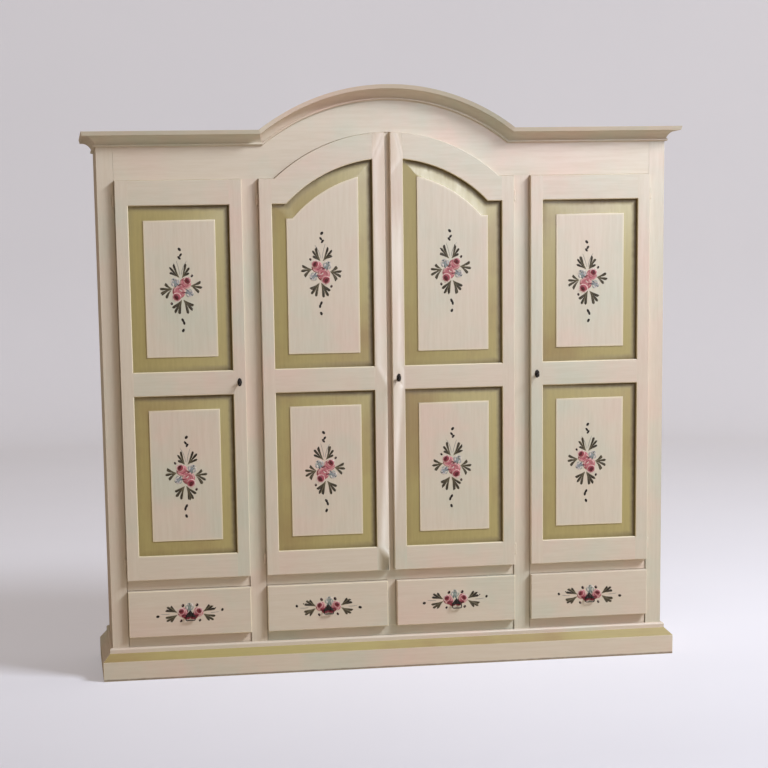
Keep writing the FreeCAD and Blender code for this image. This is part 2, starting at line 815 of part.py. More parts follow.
def hinge_pins():
    """Lower halves of all the hinges, each with its pin and its shank in the stile."""
    halves = []
    for opening_edge in (outer_opening_outer, inner_opening_outer):
        axis_x = -hinge_axis_x(opening_edge)
        for height in (low_hinge_height, high_hinge_height):
            foot = Vector(axis_x, hinge_y, height - hinge_half_length)
            barrel = Part.makeCylinder(hinge_barrel_radius, hinge_half_length, foot)
            tip = Part.makeCone(hinge_pin_radius, hinge_barrel_radius, hinge_cap_height,
                                foot - Vector(0, 0, hinge_cap_height))
            pin = Part.makeCylinder(hinge_pin_radius, hinge_pin_length, Vector(axis_x, hinge_y, height))
            halves += pair(one([barrel, tip, pin, frame_shank(axis_x, height, 0)]))
    return halves


# Locks
def lock_bolt_y():
    """Front and back of the lock bolt inside its case."""
    y1 = door_back + lock_case_depth - lock_case_wall - lock_bolt_back_gap
    return y1 - lock_bolt_thickness, y1


def lock_case(leaf):
    """Sheet-metal case screwed to the back of the free stile, open towards the door."""
    x1 = leaf.lock_edge
    x0 = x1 - lock_case_width
    half = lock_case_height / 2
    y1 = door_back + lock_case_depth
    shell = block(x0, x1, door_back, y1, lock_height - half, lock_height + half)
    wall = lock_case_wall
    hollow = block(x0 + wall, x1 - wall, door_back - overrun, y1 - wall,
                   lock_height - half + wall, lock_height + half - wall)
    bolt_front, bolt_back = lock_bolt_y()
    gap = lock_bolt_clearance
    reach = lock_bolt_height / 2 + gap
    slot = block(x1 - wall - overrun, x1 + overrun, bolt_front - gap, bolt_back + gap,
                 lock_height - reach, lock_height + reach)
    return drilled(shell.cut(hollow).cut(slot), [screw_hole(*spot) for spot in lock_screws(leaf)])


def lock_screws(leaf):
    """Places and direction of the screws at the corners of a lock case."""
    y = door_back + lock_case_depth
    rise = lock_case_height / 2 - lock_screw_inset
    spots = []
    for x in (leaf.lock_edge - lock_case_width + lock_screw_inset, leaf.lock_edge - lock_screw_inset):
        for z in (lock_height - rise, lock_height + rise):
            spots.append((Vector(x, y, z), Vector(0, -1, 0)))
    return spots


def lock_bolt(leaf):
    x1 = leaf.lock_edge
    bolt_front, bolt_back = lock_bolt_y()
    half = lock_bolt_height / 2
    return block(x1 - lock_bolt_length, x1, bolt_front, bolt_back, lock_height - half, lock_height + half)


def escutcheon(leaf):
    """Oval keyhole plate on the face of the door."""
    centre = Vector(leaf.key_x, door_front - escutcheon_thickness, lock_height)
    oval = Part.Ellipse(centre + Vector(0, 0, escutcheon_height / 2),
                        centre + Vector(escutcheon_width / 2, 0, 0), centre)
    plate = Part.Face(Part.Wire(oval.toShape())).extrude(Vector(0, escutcheon_thickness, 0))
    return plate.cut(key_passage(leaf, door_front - escutcheon_thickness - overrun, door_front + overrun))


def key(leaf):
    """Shaft, collar, bit and a flat bow with a hole, turned upright."""
    bolt_front = lock_bolt_y()[0]
    tip = bolt_front - key_end_gap
    neck = door_front - escutcheon_thickness - key_neck_length
    axis = Vector(leaf.key_x, neck, lock_height)
    shaft = Part.makeCylinder(key_shaft_radius, tip - neck, axis, axis_y)
    collar = Part.makeCylinder(key_collar_radius, key_collar_length, axis, axis_y)
    along = key_bow_length / 2 + key_collar_length / 2
    bow_y = neck + key_collar_length - along
    bow_centre = Vector(leaf.key_x - key_bow_thickness / 2, bow_y, lock_height)
    ellipse = Part.Ellipse(bow_centre + Vector(0, 0, key_bow_height / 2), bow_centre + Vector(0, along, 0),
                           bow_centre)
    bow = Part.Face(Part.Wire(ellipse.toShape())).extrude(Vector(key_bow_thickness, 0, 0))
    hole = Part.makeCylinder(key_bow_hole_radius, key_bow_thickness + 2 * overrun,
                             bow_centre - Vector(overrun, 0, 0), Vector(1, 0, 0))
    half = key_bit_thickness / 2
    bit = block(leaf.key_x - half, leaf.key_x + half, tip - key_bit_length, tip,
                lock_height - key_bit_reach, lock_height)
    return one([shaft, collar, bow.cut(hole), bit])


def strike_screws(x_face, inward):
    """Places and direction of the two screws of a strike plate."""
    y = door_back + strike_inset + strike_depth / 2
    rise = strike_height / 2 - strike_screw_inset
    x = x_face + inward * screw_head_height
    return [(Vector(x, y, lock_height + way * rise), Vector(inward, 0, 0)) for way in (-1, 1)]


def strike_plates():
    """Plates let into the uprights where the lock bolts enter, each with two countersunk screws."""
    plates = []
    y0, y1 = lock_bolt_y()
    gap = lock_bolt_clearance
    half = lock_bolt_height / 2 + gap
    for x_face, inward, twin in ((-outer_opening_inner, 1, True), (post_back_width / 2, -1, False)):
        plate = strike_block(x_face, inward, 0)
        hole = block(x_face - overrun, x_face + overrun, y0 - gap, y1 + gap,
                     lock_height - half, lock_height + half)
        plate = plate.cut(hole)
        screws = [screw(*spot, sunk=True) for spot in strike_screws(x_face, inward)]
        plate = drilled(plate, screws)
        for piece in [plate] + screws:
            plates += pair(piece) if twin else [piece]
    return plates


# Bolts on the back of the door without a lock
def slip_bolt(upper):
    """A round bolt with a knob, drawn back inside the door's outline."""
    x, y = slip_bolt_x(), slip_bolt_y()
    if upper:
        end = arch_height(door_arch_radius, x - slip_bolt_radius) - slip_bolt_edge_gap
        start = end - slip_bolt_length
    else:
        start = door_bottom + slip_bolt_edge_gap
        end = start + slip_bolt_length
    rod = Part.makeCylinder(slip_bolt_radius, slip_bolt_length, Vector(x, y, start))
    knob = Part.makeCylinder(slip_knob_radius, slip_bolt_radius + slip_knob_length,
                             Vector(x, y, (start + end) / 2), axis_y)
    return one([rod, knob]), start, end


def slip_guides():
    """Two plates with bored blocks that carry the bolts."""
    guides = []
    x, y = slip_bolt_x(), slip_bolt_y()
    for upper in (True, False):
        bolt, start, end = slip_bolt(upper)
        middle = (start + end) / 2
        low, high = middle - slip_guide_length / 2, middle + slip_guide_length / 2
        half = slip_guide_width / 2
        plate = block(x - half, x + half, door_back, door_back + slip_guide_plate, low, high)
        y_top = y + slip_bolt_radius + slip_guide_wall
        blocks = [plate]
        for z0 in (low, high - slip_guide_height):
            blocks.append(block(x - half, x + half, door_back, y_top, z0, z0 + slip_guide_height))
        body = one(blocks)
        body = body.cut(Part.makeCylinder(slip_bolt_radius + slip_bolt_clearance,
                                          high - low + 2 * overrun, Vector(x, y, low - overrun)))
        guides.append(drilled(body, [screw_hole(*spot) for spot in slip_screws(low, high)]))
        guides += [screw(*spot) for spot in slip_screws(low, high)]
    return guides


def slip_screws(low, high):
    """Places and direction of the four screws of one guide plate."""
    spots = []
    for x in (slip_bolt_x() - slip_screw_side, slip_bolt_x() + slip_screw_side):
        for z in (low + slip_screw_inset, high - slip_screw_inset):
            spots.append((Vector(x, door_back + slip_guide_plate, z), Vector(0, -1, 0)))
    return spots


def slip_screw_holes():
    """Screw holes of both guide plates."""
    holes = []
    for upper in (True, False):
        bolt, start, end = slip_bolt(upper)
        middle = (start + end) / 2
        spots = slip_screws(middle - slip_guide_length / 2, middle + slip_guide_length / 2)
        holes += [screw_hole(*spot) for spot in spots]
    return holes


# Drawers
def drawer_front(x_outer, x_inner):
    body = block(x_outer, x_inner, door_front, door_back,
                 bottom_rail_top + door_gap, drawer_opening_top - door_gap)
    rim = [edge for edge in body.Edges if abs(edge.BoundBox.YMax - door_front) < door_edge_chamfer]
    return body.makeChamfer(door_edge_chamfer, rim)


def drawer_box(x_outer, x_inner):
    """Two sides, a back and a bottom let into grooves."""
    x0 = x_outer - door_gap + drawer_box_gap
    x1 = x_inner + door_gap - drawer_box_gap
    z0 = bottom_rail_top + drawer_box_lift
    y0 = door_back
    y1 = drawer_box_back
    wall = drawer_side_thickness
    bottom_z = z0 + drawer_bottom_lift
    gap = drawer_bottom_clearance
    bottom = block(x0 + wall - drawer_bottom_groove, x1 - wall + drawer_bottom_groove, y0, y1 - wall,
                   bottom_z, bottom_z + drawer_bottom_thickness)
    groove = block(x0 + wall - drawer_bottom_groove - gap, x1 - wall + drawer_bottom_groove + gap,
                   y0, y1 - wall + gap, bottom_z - gap, bottom_z + drawer_bottom_thickness + gap)
    left = block(x0, x0 + wall, y0, y1, z0, z0 + drawer_side_height).cut(groove)
    right = block(x1 - wall, x1, y0, y1, z0, z0 + drawer_side_height).cut(groove)
    back_wall = block(x0 + wall, x1 - wall, y1 - wall, y1, bottom_z, bottom_z + drawer_back_height)
    return [left, right, back_wall, bottom]


def drawer_runners():
    """Laths under and beside the drawer boxes, with stops behind, fixed to the carcass uprights."""
    laths = []
    uprights = ((-side_inside, -outer_opening_outer + drawer_box_gap, 1),
                (-partition_outer, -outer_opening_inner - drawer_box_gap, -1),
                (-partition_inner, -inner_opening_outer + drawer_box_gap, 1),
                (-panel_thickness / 2, -muntin_width / 2 - drawer_box_gap, -1))
    for x_fixed, x_box, way in uprights:
        ends = sorted([x_fixed, x_box + way * runner_lap])
        laths += pair(block(ends[0], ends[1], face_back, back_inside,
                            runner_top - runner_height, runner_top))
        ends = sorted([x_fixed, x_box - way * guide_clearance])
        laths += pair(block(ends[0], ends[1], face_back, back_inside,
                            runner_top, runner_top + guide_height))
        ends = sorted([x_box, x_box + way * runner_lap])
        laths += pair(block(ends[0], ends[1], back_inside - drawer_stop_length, back_inside,
                            runner_top, runner_top + guide_height))
    return laths


def pull_place(x_outer, x_inner):
    """Middle of a pull's plate on the face of its drawer."""
    middle = (bottom_rail_top + drawer_opening_top) / 2
    return Vector((x_outer + x_inner) / 2, door_front, middle + pull_rise)


def pull_plate(place):
    """A bell-shaped plate with a boss, a screw stem, and two ears bored for the bail."""
    half = pull_plate_half_width
    tip = pull_plate_tip_radius
    top = place + Vector(0, 0, pull_plate_height)
    lean = math.atan2(pull_plate_height - tip - pull_plate_shoulder, half - tip)
    side = Vector(tip * math.sin(lean), 0, tip * math.cos(lean) - tip)
    lines = Part.makePolygon([top + Vector(side.x, 0, side.z),
                              place + Vector(half, 0, pull_plate_shoulder),
                              place + Vector(half, 0, -pull_plate_foot),
                              place + Vector(-half, 0, -pull_plate_foot),
                              place + Vector(-half, 0, pull_plate_shoulder),
                              top + Vector(-side.x, 0, side.z)])
    crown = Part.Arc(top + Vector(-side.x, 0, side.z), top, top + Vector(side.x, 0, side.z)).toShape()
    thickness = Vector(0, -pull_plate_thickness, 0)
    pieces = [Part.Face(Part.Wire(lines.Edges + [crown])).extrude(thickness)]
    boss_foot = place + thickness + Vector(0, 0, pull_boss_rise)
    pieces.append(Part.makeCone(pull_boss_radius, pull_boss_radius / 2, pull_boss_length,
                                boss_foot, axis_y * -1))
    pieces.append(Part.makeCylinder(pull_stem_radius, pull_stem_length,
                                    place + Vector(0, 0, pull_boss_rise), axis_y))
    axis = place + Vector(0, -pull_axis_reach, 0)
    ear_half = pull_ear_width / 2
    for way in (-1, 1):
        x = place.x + way * pull_ear_offset
        pieces.append(Part.makeCylinder(pull_ear_radius, pull_ear_width,
                                        Vector(x - ear_half, axis.y, axis.z), Vector(1, 0, 0)))
        pieces.append(block(x - ear_half, x + ear_half, axis.y, place.y - pull_plate_thickness / 2,
                            axis.z - pull_plate_foot, axis.z + pull_ear_radius))
    reach = pull_plate_half_width + overrun
    bore = Part.makeCylinder(pull_wire_radius + pull_wire_clearance, 2 * reach,
                             Vector(place.x - reach, axis.y, axis.z), Vector(1, 0, 0))
    return one(pieces).cut(bore)


def pull_bail(place):
    """A bent wire: two short pins in the ears, two arms and a bar along the bottom."""
    axis = place + Vector(0, -pull_axis_reach, 0)
    corners = [axis + Vector(-pull_pin_end, 0, 0), axis + Vector(-pull_top_half_width, 0, 0),
               axis + Vector(-pull_bottom_half_width, 0, -pull_drop),
               axis + Vector(pull_bottom_half_width, 0, -pull_drop),
               axis + Vector(pull_top_half_width, 0, 0), axis + Vector(pull_pin_end, 0, 0)]
    edges = []
    last = corners[0]
    for number in range(1, len(corners) - 1):
        corner = corners[number]
        back_way = corners[number - 1] - corner
        on_way = corners[number + 1] - corner
        angle = back_way.getAngle(on_way)
        radius = pull_corner_radius if corner.z < axis.z else pull_corner_radius / 2
        reach = radius / math.tan(angle / 2)
        back_way.normalize()
        on_way.normalize()
        inward = back_way + on_way
        inward.normalize()
        start = corner + back_way * reach
        end = corner + on_way * reach
        centre = corner + inward * (radius / math.sin(angle / 2))
        edges.append(Part.LineSegment(last, start).toShape())
        edges.append(Part.Arc(start, centre - inward * radius, end).toShape())
        last = end
    edges.append(Part.LineSegment(last, corners[-1]).toShape())
    circle = Part.Wire(Part.makeCircle(pull_wire_radius, corners[0], Vector(1, 0, 0)))
    return Part.Wire(edges).makePipeShell([circle], True, False)


# Inside fittings
def bay_spans():
    """Left and right wall of a bay of the inside, and if it has a twin on the other side."""
    return ((-side_inside, -partition_outer, True), (-partition_inner, partition_inner, False))


def hat_shelves():
    """Three shelves, each on two battens."""
    y0 = face_back + shelf_setback
    low = shelf_top - shelf_thickness
    pieces = []
    for x0, x1, twin in bay_spans():
        board = block(x0 + shelf_side_gap, x1 - shelf_side_gap, y0, back_inside, low, shelf_top)
        battens = [block(x0, x0 + batten_width, y0, back_inside, low - batten_height, low),
                   block(x1 - batten_width, x1, y0, back_inside, low - batten_height, low)]
        for piece in [board] + battens:
            pieces += pair(piece) if twin else [piece]
    return pieces


def rail_place():
    return (face_back + back_inside) / 2, shelf_top - shelf_thickness - rail_drop


def hanging_rails():
    y, z = rail_place()
    rails = []
    for x0, x1, twin in bay_spans():
        start = x0 + socket_floor + rail_fit
        end = x1 - socket_floor - rail_fit
        pole = Part.makeCylinder(rail_radius, end - start, Vector(start, y, z), Vector(1, 0, 0))
        rails += pair(pole) if twin else [pole]
    return rails


def rail_sockets():
    """Turned cups on the uprights that hold the rails' ends."""
    y, z = rail_place()
    cups = []
    for x0, x1, twin in bay_spans():
        for x, way in ((x0, 1), (x1, -1)):
            outward = Vector(way, 0, 0)
            cup = Part.makeCylinder(socket_radius, socket_depth, Vector(x, y, z), outward)
            seat = Part.makeCylinder(rail_radius + rail_fit, socket_depth,
                                     Vector(x, y, z) + outward * socket_floor, outward)
            cup = cup.cut(seat)
            cups += pair(cup) if twin else [cup]
    return cups


def build_carcass():
    save("side_panels", side_panels())
    save("partitions", partitions())
    save("back_boards", back_boards())
    save("top_boards", top_boards())
    save("floor_panels", floor_panels())
    save("face_stiles", face_stiles())
    save("centre_posts", centre_posts())
    save("face_rails", face_rails())
    save("arched_frieze", [frieze()])
    save("door_stops", door_stops())
    save("plinth_boards", plinth_boards() + plinth_blocks())
    save("plinth_caps", plinth_caps())
    save("cornice_lengths", cornice_lengths())
    save("cornice_arch", [cornice_arch()])
    save("hat_shelves", hat_shelves())
    save("hanging_rails", hanging_rails())
    save("rail_sockets", rail_sockets())
    save("drawer_runners", drawer_runners())
    save("hinge_pins", hinge_pins())
    save("strike_plates", strike_plates())


def build_doors():
    for number, leaf, right, has_lock in ((1, side_leaf, False, True), (2, middle_leaf, False, False),
                                          (3, middle_leaf, True, True), (4, side_leaf, True, True)):
        name = "door_" + str(number)

        def turn(shapes):
            return [mirrored(shape) for shape in shapes] if right else shapes

        save(name + "_frame", turn(door_frame(leaf, has_lock)))
        save(name + "_panels", turn(door_panels(leaf)))
        save(name + "_hinges", turn(door_hinges(leaf)))
        if has_lock:
            screws = [screw(*spot) for spot in lock_screws(leaf)]
            save(name + "_lock", turn([lock_case(leaf), escutcheon(leaf)] + screws))
            save(name + "_lock_bolt", turn([lock_bolt(leaf)]))
            save(name + "_key", turn([key(leaf)]))
    save("door_2_bolt_guides", slip_guides())
    save("door_2_upper_bolt", [slip_bolt(True)[0]])
    save("door_2_lower_bolt", [slip_bolt(False)[0]])


def build_drawers():
    outer = (-outer_opening_outer + door_gap, -outer_opening_inner - door_gap)
    inner = (-inner_opening_outer + door_gap, -muntin_width / 2 - door_gap)
    for number, span, right in ((1, outer, False), (2, inner, False), (3, inner, True), (4, outer, True)):
        name = "drawer_" + str(number)

        def turn(shapes):
            return [mirrored(shape) for shape in shapes] if right else shapes

        place = pull_place(span[0], span[1])
        plate = pull_plate(place)
        front_board = drawer_front(span[0], span[1])
        hole = Part.makeCylinder(pull_stem_radius + pull_stem_clearance,
                                 pull_stem_length + pull_stem_clearance,
                                 place + Vector(0, 0, pull_boss_rise), axis_y)
        save(name + "_front", turn([front_board.cut(hole)]))
        save(name + "_box", turn(drawer_box(span[0], span[1])))
        save(name + "_pull_plate", turn([plate]))
        save(name + "_pull_bail", turn([pull_bail(place)]))


build_carcass()
build_doors()
build_drawers()
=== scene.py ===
import json
import math
import random

import bmesh
import bpy
import numpy as np
from bpy.props import FloatProperty, FloatVectorProperty, IntProperty, PointerProperty
from mathutils import Matrix, Vector


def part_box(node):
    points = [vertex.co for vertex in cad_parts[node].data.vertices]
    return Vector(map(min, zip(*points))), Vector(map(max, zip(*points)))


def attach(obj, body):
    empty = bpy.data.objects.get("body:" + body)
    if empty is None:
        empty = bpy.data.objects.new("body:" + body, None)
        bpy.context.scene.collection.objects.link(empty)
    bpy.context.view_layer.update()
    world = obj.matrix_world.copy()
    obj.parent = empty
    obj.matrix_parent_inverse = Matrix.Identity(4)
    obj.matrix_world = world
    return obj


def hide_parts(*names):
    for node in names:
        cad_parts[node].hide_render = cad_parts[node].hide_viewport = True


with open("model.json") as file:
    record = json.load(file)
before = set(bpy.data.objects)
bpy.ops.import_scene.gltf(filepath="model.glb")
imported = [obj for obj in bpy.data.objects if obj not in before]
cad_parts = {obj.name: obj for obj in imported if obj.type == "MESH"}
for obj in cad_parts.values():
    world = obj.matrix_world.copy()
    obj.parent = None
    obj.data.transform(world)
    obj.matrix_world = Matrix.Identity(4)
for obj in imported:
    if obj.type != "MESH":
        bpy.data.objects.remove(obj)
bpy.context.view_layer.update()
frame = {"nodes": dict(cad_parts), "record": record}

bl_info = {
    "name": "Painted country wardrobe",
    "version": (1, 0, 0),
    "blender": (4, 5, 0),
    "location": "3D View > Sidebar > Wardrobe",
    "description": "Dresses the wardrobe's boards and fittings with paint, wood, iron and rose sprays",
    "category": "Object",
}

MM = 0.001

# Paint slots of a board's mesh, in the order in which its materials are given
PAINT, EDGE, OLIVE, WOOD = range(4)

# Below the first angle two faces are one flat face, and above the second the edge between them is rounded
FLAT_ANGLE, SHARP_ANGLE = math.radians(0.4), math.radians(28)

# Places nearer to each other than this count as the same
NEAR = MM / 5

# A face looks along an axis if this much of its normal does, and across it if no more than the second share does
ALONG, ACROSS = 0.7, 0.3

# From the front of a panel's field back to the foot of its bevels, and from the plinth board up its cap's slope
BEVEL_DEPTH, SLOPE_HEIGHT = 9 * MM, 28 * MM

# How far the sprays sit from the middle of their boards: along the panels of each door, and on each drawer
DOOR_SPRAY_SHIFTS = (1 * MM, -7 * MM, -9 * MM, -10 * MM)
DRAWER_SPRAY_SHIFTS = ((0.0, 0.0), (0.0, 0.0), (-4 * MM, 5 * MM), (0.0, 0.0))

# Shares that shape a brush stroke: how its width grows from the foot and falls off at the tip
LEAF_BELLY = (0.9, 0.42)
TIP_BELLY = (1.0, 0.3)
ROUND_BELLY = (0.5, 0.5)
LINE_BELLY = (0.16, 0.2)
CRESCENT_BELLY = (0.55, 0.55)

# Points along and across a brush stroke, and its least bend, since the sums divide by the bend
STEPS_ALONG, STEPS_ACROSS = 13, 7
LEAST_BEND = 0.002


# Settings
def srgb(code):
    """A colour written as six hexadecimal digits, in Blender's linear values."""
    values = [int(code[start:start + 2], 16) / 255 for start in (0, 2, 4)]
    return tuple(value / 12.92 if value <= 0.04045 else ((value + 0.055) / 1.055) ** 2.4 for value in values)


def colour(name, code, description):
    """A setting with a colour."""
    return FloatVectorProperty(name=name, description=description, subtype="COLOR", min=0.0, max=1.0,
                               default=srgb(code))


def amount(name, default, description, **limits):
    """A setting with a number."""
    return FloatProperty(name=name, description=description, default=default, **limits)


def share(name, default, description):
    """A setting from 0 to 1."""
    return amount(name, default, description, subtype="FACTOR", min=0.0, max=1.0)


def length(name, default, description):
    """A setting in metres."""
    return amount(name, default, description, unit="LENGTH", min=0.0, precision=5)


def degrees(name, default, description):
    """A setting with an angle."""
    return amount(name, math.radians(default), description, subtype="ANGLE")


class WardrobePaint(bpy.types.PropertyGroup):
    """Colours and wear of the painted boards."""

    cream: colour("Cream", "DACEBC", "Main colour of the frames and fields")
    blush: colour("Blush", "DFC7B8", "Warm, pinkish cloud in the cream")
    sage: colour("Sage", "CDCEBC", "Cool, greenish cloud in the cream")
    olive: colour("Olive", "B3A56C", "Bevels, recess edges and the plinth's slope")
    olive_shade: colour("Olive shade", "A38A5C", "Streaks in the olive")
    # This colour is also painted shade: in the panels' recesses and as a contact shadow along the floor
    glaze_and_shade: colour("Glaze", "574420", "Dark glaze gathered in the recesses and at the floor")
    bared: colour("Bared edge", "E8DCBE", "What shows where the paint is rubbed thin")
    clouds: share("Clouds", 0.85, "How strongly the warm and cool clouds show")
    streaks: share("Streaks", 0.25, "How strongly the brush's streaks show")
    wear: share("Wear", 0.72, "How much of the edges is rubbed thin")
    streak_width: length("Streak width", 9 * MM, "Width of a brush streak")
    joint_rounding: length("Joint rounding", 0.25 * MM, "Rounding of the edges that meet another board")
    edge_rounding: length("Edge rounding", 1.3 * MM, "Rounding of the free edges")
    floor_rounding: length("Floor rounding", 2.5 * MM, "Rounding of the plinth's edges along the floor")
    recess_rounding: length("Recess rounding", 3.6 * MM, "Rounding of a door frame's edges round its panels")
    field_rounding: length("Field rounding", 1.6 * MM, "Rounding between a panel's field and its step")
    panel_rounding: length("Panel rounding", 0.4 * MM, "Rounding of a panel's other edges")
    # The rim is a painted highlight along the edge of a panel's field
    rim_width: length("Rim width", 9 * MM, "Pale rim along the edge of a panel's field")


class WardrobeWood(bpy.types.PropertyGroup):
    """Colours and grain of the bare wood."""

    light: colour("Early wood", "D8B98A", "Pale wood between the rings")
    dark: colour("Late wood", "B58A57", "Darker lines of the rings")
    ring_width: length("Ring width", 14 * MM, "Distance between two rings on a board")
    rounding: length("Rounding", 0.5 * MM, "Rounding of the bare boards' edges")


class WardrobeIron(bpy.types.PropertyGroup):
    """Colours of the fittings."""

    dark: colour("Dark iron", "140F0D", "Burnished iron of the pulls, keys and hinges")
    rubbed: colour("Rubbed iron", "30241C", "Brown where hands have rubbed the iron")
    steel: colour("Steel", "8A857D", "Locks' bolts and slip bolts")
    rounding: length("Rounding", 0.35 * MM, "Rounding of the fittings' edges")


class WardrobeSprays(bpy.types.PropertyGroup):
    """Colours and build of the painted rose sprays."""

    rose: colour("Rose", "CF7F88", "Body of a rose")
    rose_light: colour("Rose light", "EBC2BE", "Light petals of a rose")
    rose_deep: colour("Rose deep", "A94856", "Shaded petals of a rose")
    heart: colour("Rose heart", "611A1F", "Cup of a rose")
    white: colour("Highlight", "F4E9E1", "Highlights on roses and small flowers")
    blue: colour("Blue", "A4A8B4", "Small flowers")
    teal: colour("Teal", "9BA9A4", "Small flowers' other petals")
    ink: colour("Ink", "3A3D45", "Strokes inside the small flowers")
    leaf: colour("Leaf", "7E7559", "Light side of a leaf")
    leaf_dark: colour("Leaf dark", "2B2114", "Dark side of a leaf")
    berry: colour("Berry", "22140D", "Berries and dots")
    relief: length("Relief", 0.08 * MM, "Height of a stroke's body")
    coat: length("Coat", 0.07 * MM, "Thickness of each coat of strokes")
    rise: length("Rise", 371 * MM, "Height of an arched panel's spray over the panel's foot")
    unevenness: share("Unevenness", 0.5, "How much the strokes differ from spray to spray")
    seed: IntProperty(name="Seed", description="Start of the random draws", default=7)


class WardrobeStudio(bpy.types.PropertyGroup):
    """Camera, lights and floor."""

    lens: amount("Lens", 84.48, "Focal length on a 36 mm sensor", unit="CAMERA")
    yaw: degrees("Yaw", 7.895, "Turn of the view to the right")
    pitch: degrees("Pitch", 8.29, "Tilt of the view downwards")
    roll: degrees("Roll", -1.09, "Turn about the view's axis")
    place: FloatVectorProperty(name="Place", description="Place of the camera", subtype="TRANSLATION",
                               default=(-1.273, -7.08, 1.626))
    shift: FloatVectorProperty(name="Shift", description="Shift of the frame, in frame widths", size=2,
                               default=(0.0961, 0.171))
    key_power: amount("Key light", 800.0, "Soft light from the right", unit="POWER")
    key_tint: colour("Key tint", "EFF5FF", "Colour of the key light")
    sheen_power: amount("Sheen light", 800.0, "Window that shows only in gloss", unit="POWER")
    sky: amount("Room light", 0.36, "Light from all sides", min=0.0)
    air: colour("Air", "F8E6D6", "Colour of the room's light")
    paper: colour("Paper", "D8D7DE", "Floor and backdrop")
    bounce: colour("Bounce", "CABFB0", "What the floor and backdrop throw back on the wardrobe")
    # The backdrop's glow is painted light that only the camera sees
    backlight: amount("Backlight", 0.36, "How brightly the backdrop shows", min=0.0)


SETTINGS = {"paint": WardrobePaint, "wood": WardrobeWood, "iron": WardrobeIron, "sprays": WardrobeSprays,
            "studio": WardrobeStudio}


def settings(name):
    """One of the scene's groups of settings."""
    return getattr(bpy.context.scene, "wardrobe_" + name)


# Facts from the frame
DOORS = ("door_1", "door_2", "door_3", "door_4")
DRAWERS = ("drawer_1", "drawer_2", "drawer_3", "drawer_4")


def body_of(node):
    """Body that a node belongs to."""
    bodies = frame["record"]["behaviour"]["bodies"]
    return next(body for body, members in bodies.items() if node in members)


def slot_of(node):
    """Material slot of a node in the record."""
    return next(row["material_slot"] for row in frame["record"]["subparts"] if row["node"] == node)


# Nodes of materials and of geometry
def sign(operation, turned=False):
    """What one of Python's own signs does with values."""
    return lambda self, other: maths(operation, other, self) if turned else maths(operation, self, other)


class Value:
    """A node's output, which takes part in sums as a number does."""

    __add__, __sub__, __mul__ = sign("ADD"), sign("SUBTRACT"), sign("MULTIPLY")
    __truediv__, __pow__, __rsub__ = sign("DIVIDE"), sign("POWER"), sign("SUBTRACT", turned=True)

    def __init__(self, socket):
        self.socket = socket


def outputs_of(node):
    """A node's outputs as values, by number and by name."""
    return {key: Value(socket) for number, socket in enumerate(node.outputs) for key in (number, socket.name)}


def give(node, inputs):
    """Sets or links a node's inputs."""
    for name, value in inputs.items():
        if isinstance(value, Value):
            node.id_data.links.new(value.socket, node.inputs[name])
        else:
            node.inputs[name].default_value = value


def put(kind, inputs=None, tree=None, **choices):
    """The outputs of a new node. The tree is that of its linked inputs, if it isn't given."""
    inputs = inputs or {}
    if tree is None:
        tree = next(value.socket.id_data for value in inputs.values() if isinstance(value, Value))
    made = tree.nodes.new(kind)
    for name, value in choices.items():
        setattr(made, name, value)
    give(made, inputs)
    return outputs_of(made)


def maths(operation, *values):
    """Result of a sum on numbers."""
    return put("ShaderNodeMath", dict(enumerate(values)), operation=operation)[0]


def vectors(operation, *values):
    """Result of a sum on vectors."""
    return put("ShaderNodeVectorMath", dict(enumerate(values)), operation=operation)[0]


def scaled(vector, factor):
    """A vector times a number."""
    return put("ShaderNodeVectorMath", {0: vector, "Scale": factor}, operation="SCALE")[0]


def parts(vector):
    """The three numbers of a vector."""
    split = put("ShaderNodeSeparateXYZ", {0: vector})
    return split[0], split[1], split[2]


def joined(*values):
    """A vector of three numbers."""
    return put("ShaderNodeCombineXYZ", dict(enumerate(values)))[0]


def grey(value):
    """A grey as bright as a number says."""
    return put("ShaderNodeCombineColor", {0: value, 1: value, 2: value})[0]


def between(value, low, high, to_low=0.0, to_high=1.0):
    """A value stretched from one range to another, and kept inside it."""
    return put("ShaderNodeMapRange", {0: value, 1: low, 2: high, 3: to_low, 4: to_high})[0]


def blend(factor, first, second, kind="MIX"):
    """Two colours mixed by a factor."""
    return put("ShaderNodeMix", {0: factor, 6: first, 7: second}, data_type="RGBA", blend_type=kind)[2]


def noise(place, scale, detail=3.0, roughness=0.55, distortion=0.0):
    """Cloudy noise between 0 and 1."""
    return put("ShaderNodeTexNoise", {"Vector": place, "Scale": scale, "Detail": detail,
                                      "Roughness": roughness, "Distortion": distortion})[0]


def bump(height, strength, distance):
    """The normal of fine relief."""
    return put("ShaderNodeBump", {"Height": height, "Strength": strength, "Distance": distance})[0]


def attribute(tree, name, part):
    """A value stored on the mesh."""
    return put("ShaderNodeAttribute", tree=tree, attribute_name=name)[part]


def coordinates(tree, name="Object"):
    """The place or the direction of the shaded point."""
    return put("ShaderNodeTexCoord", tree=tree)[name]


def rgba(tone):
    """A colour with full alpha."""
    return (*(srgb(tone) if isinstance(tone, str) else tone), 1.0)


def socket_kind(value):
    """The kind of a group's socket for a value, a plain number or a colour."""
    kinds = {"VALUE": "Float", "VECTOR": "Vector", "RGBA": "Color"}
    plain = "Float" if isinstance(value, float) else "Color"
    return "NodeSocket" + (kinds[value.socket.type] if isinstance(value, Value) else plain)


def use_group(work, inputs):
    """Outputs of a node group, which a function works out from its inputs when it is first used."""
    group = bpy.data.node_groups.get(work.__name__)
    if not group:
        group = bpy.data.node_groups.new(work.__name__, "ShaderNodeTree")
        for name, value in inputs.items():
            group.interface.new_socket(name, in_out="INPUT", socket_type=socket_kind(value))
        results = work(outputs_of(group.nodes.new("NodeGroupInput")))
        for name, value in results.items():
            group.interface.new_socket(name, in_out="OUTPUT", socket_type=socket_kind(value))
        give(group.nodes.new("NodeGroupOutput"), results)
    return put("ShaderNodeGroup", inputs, node_tree=group)


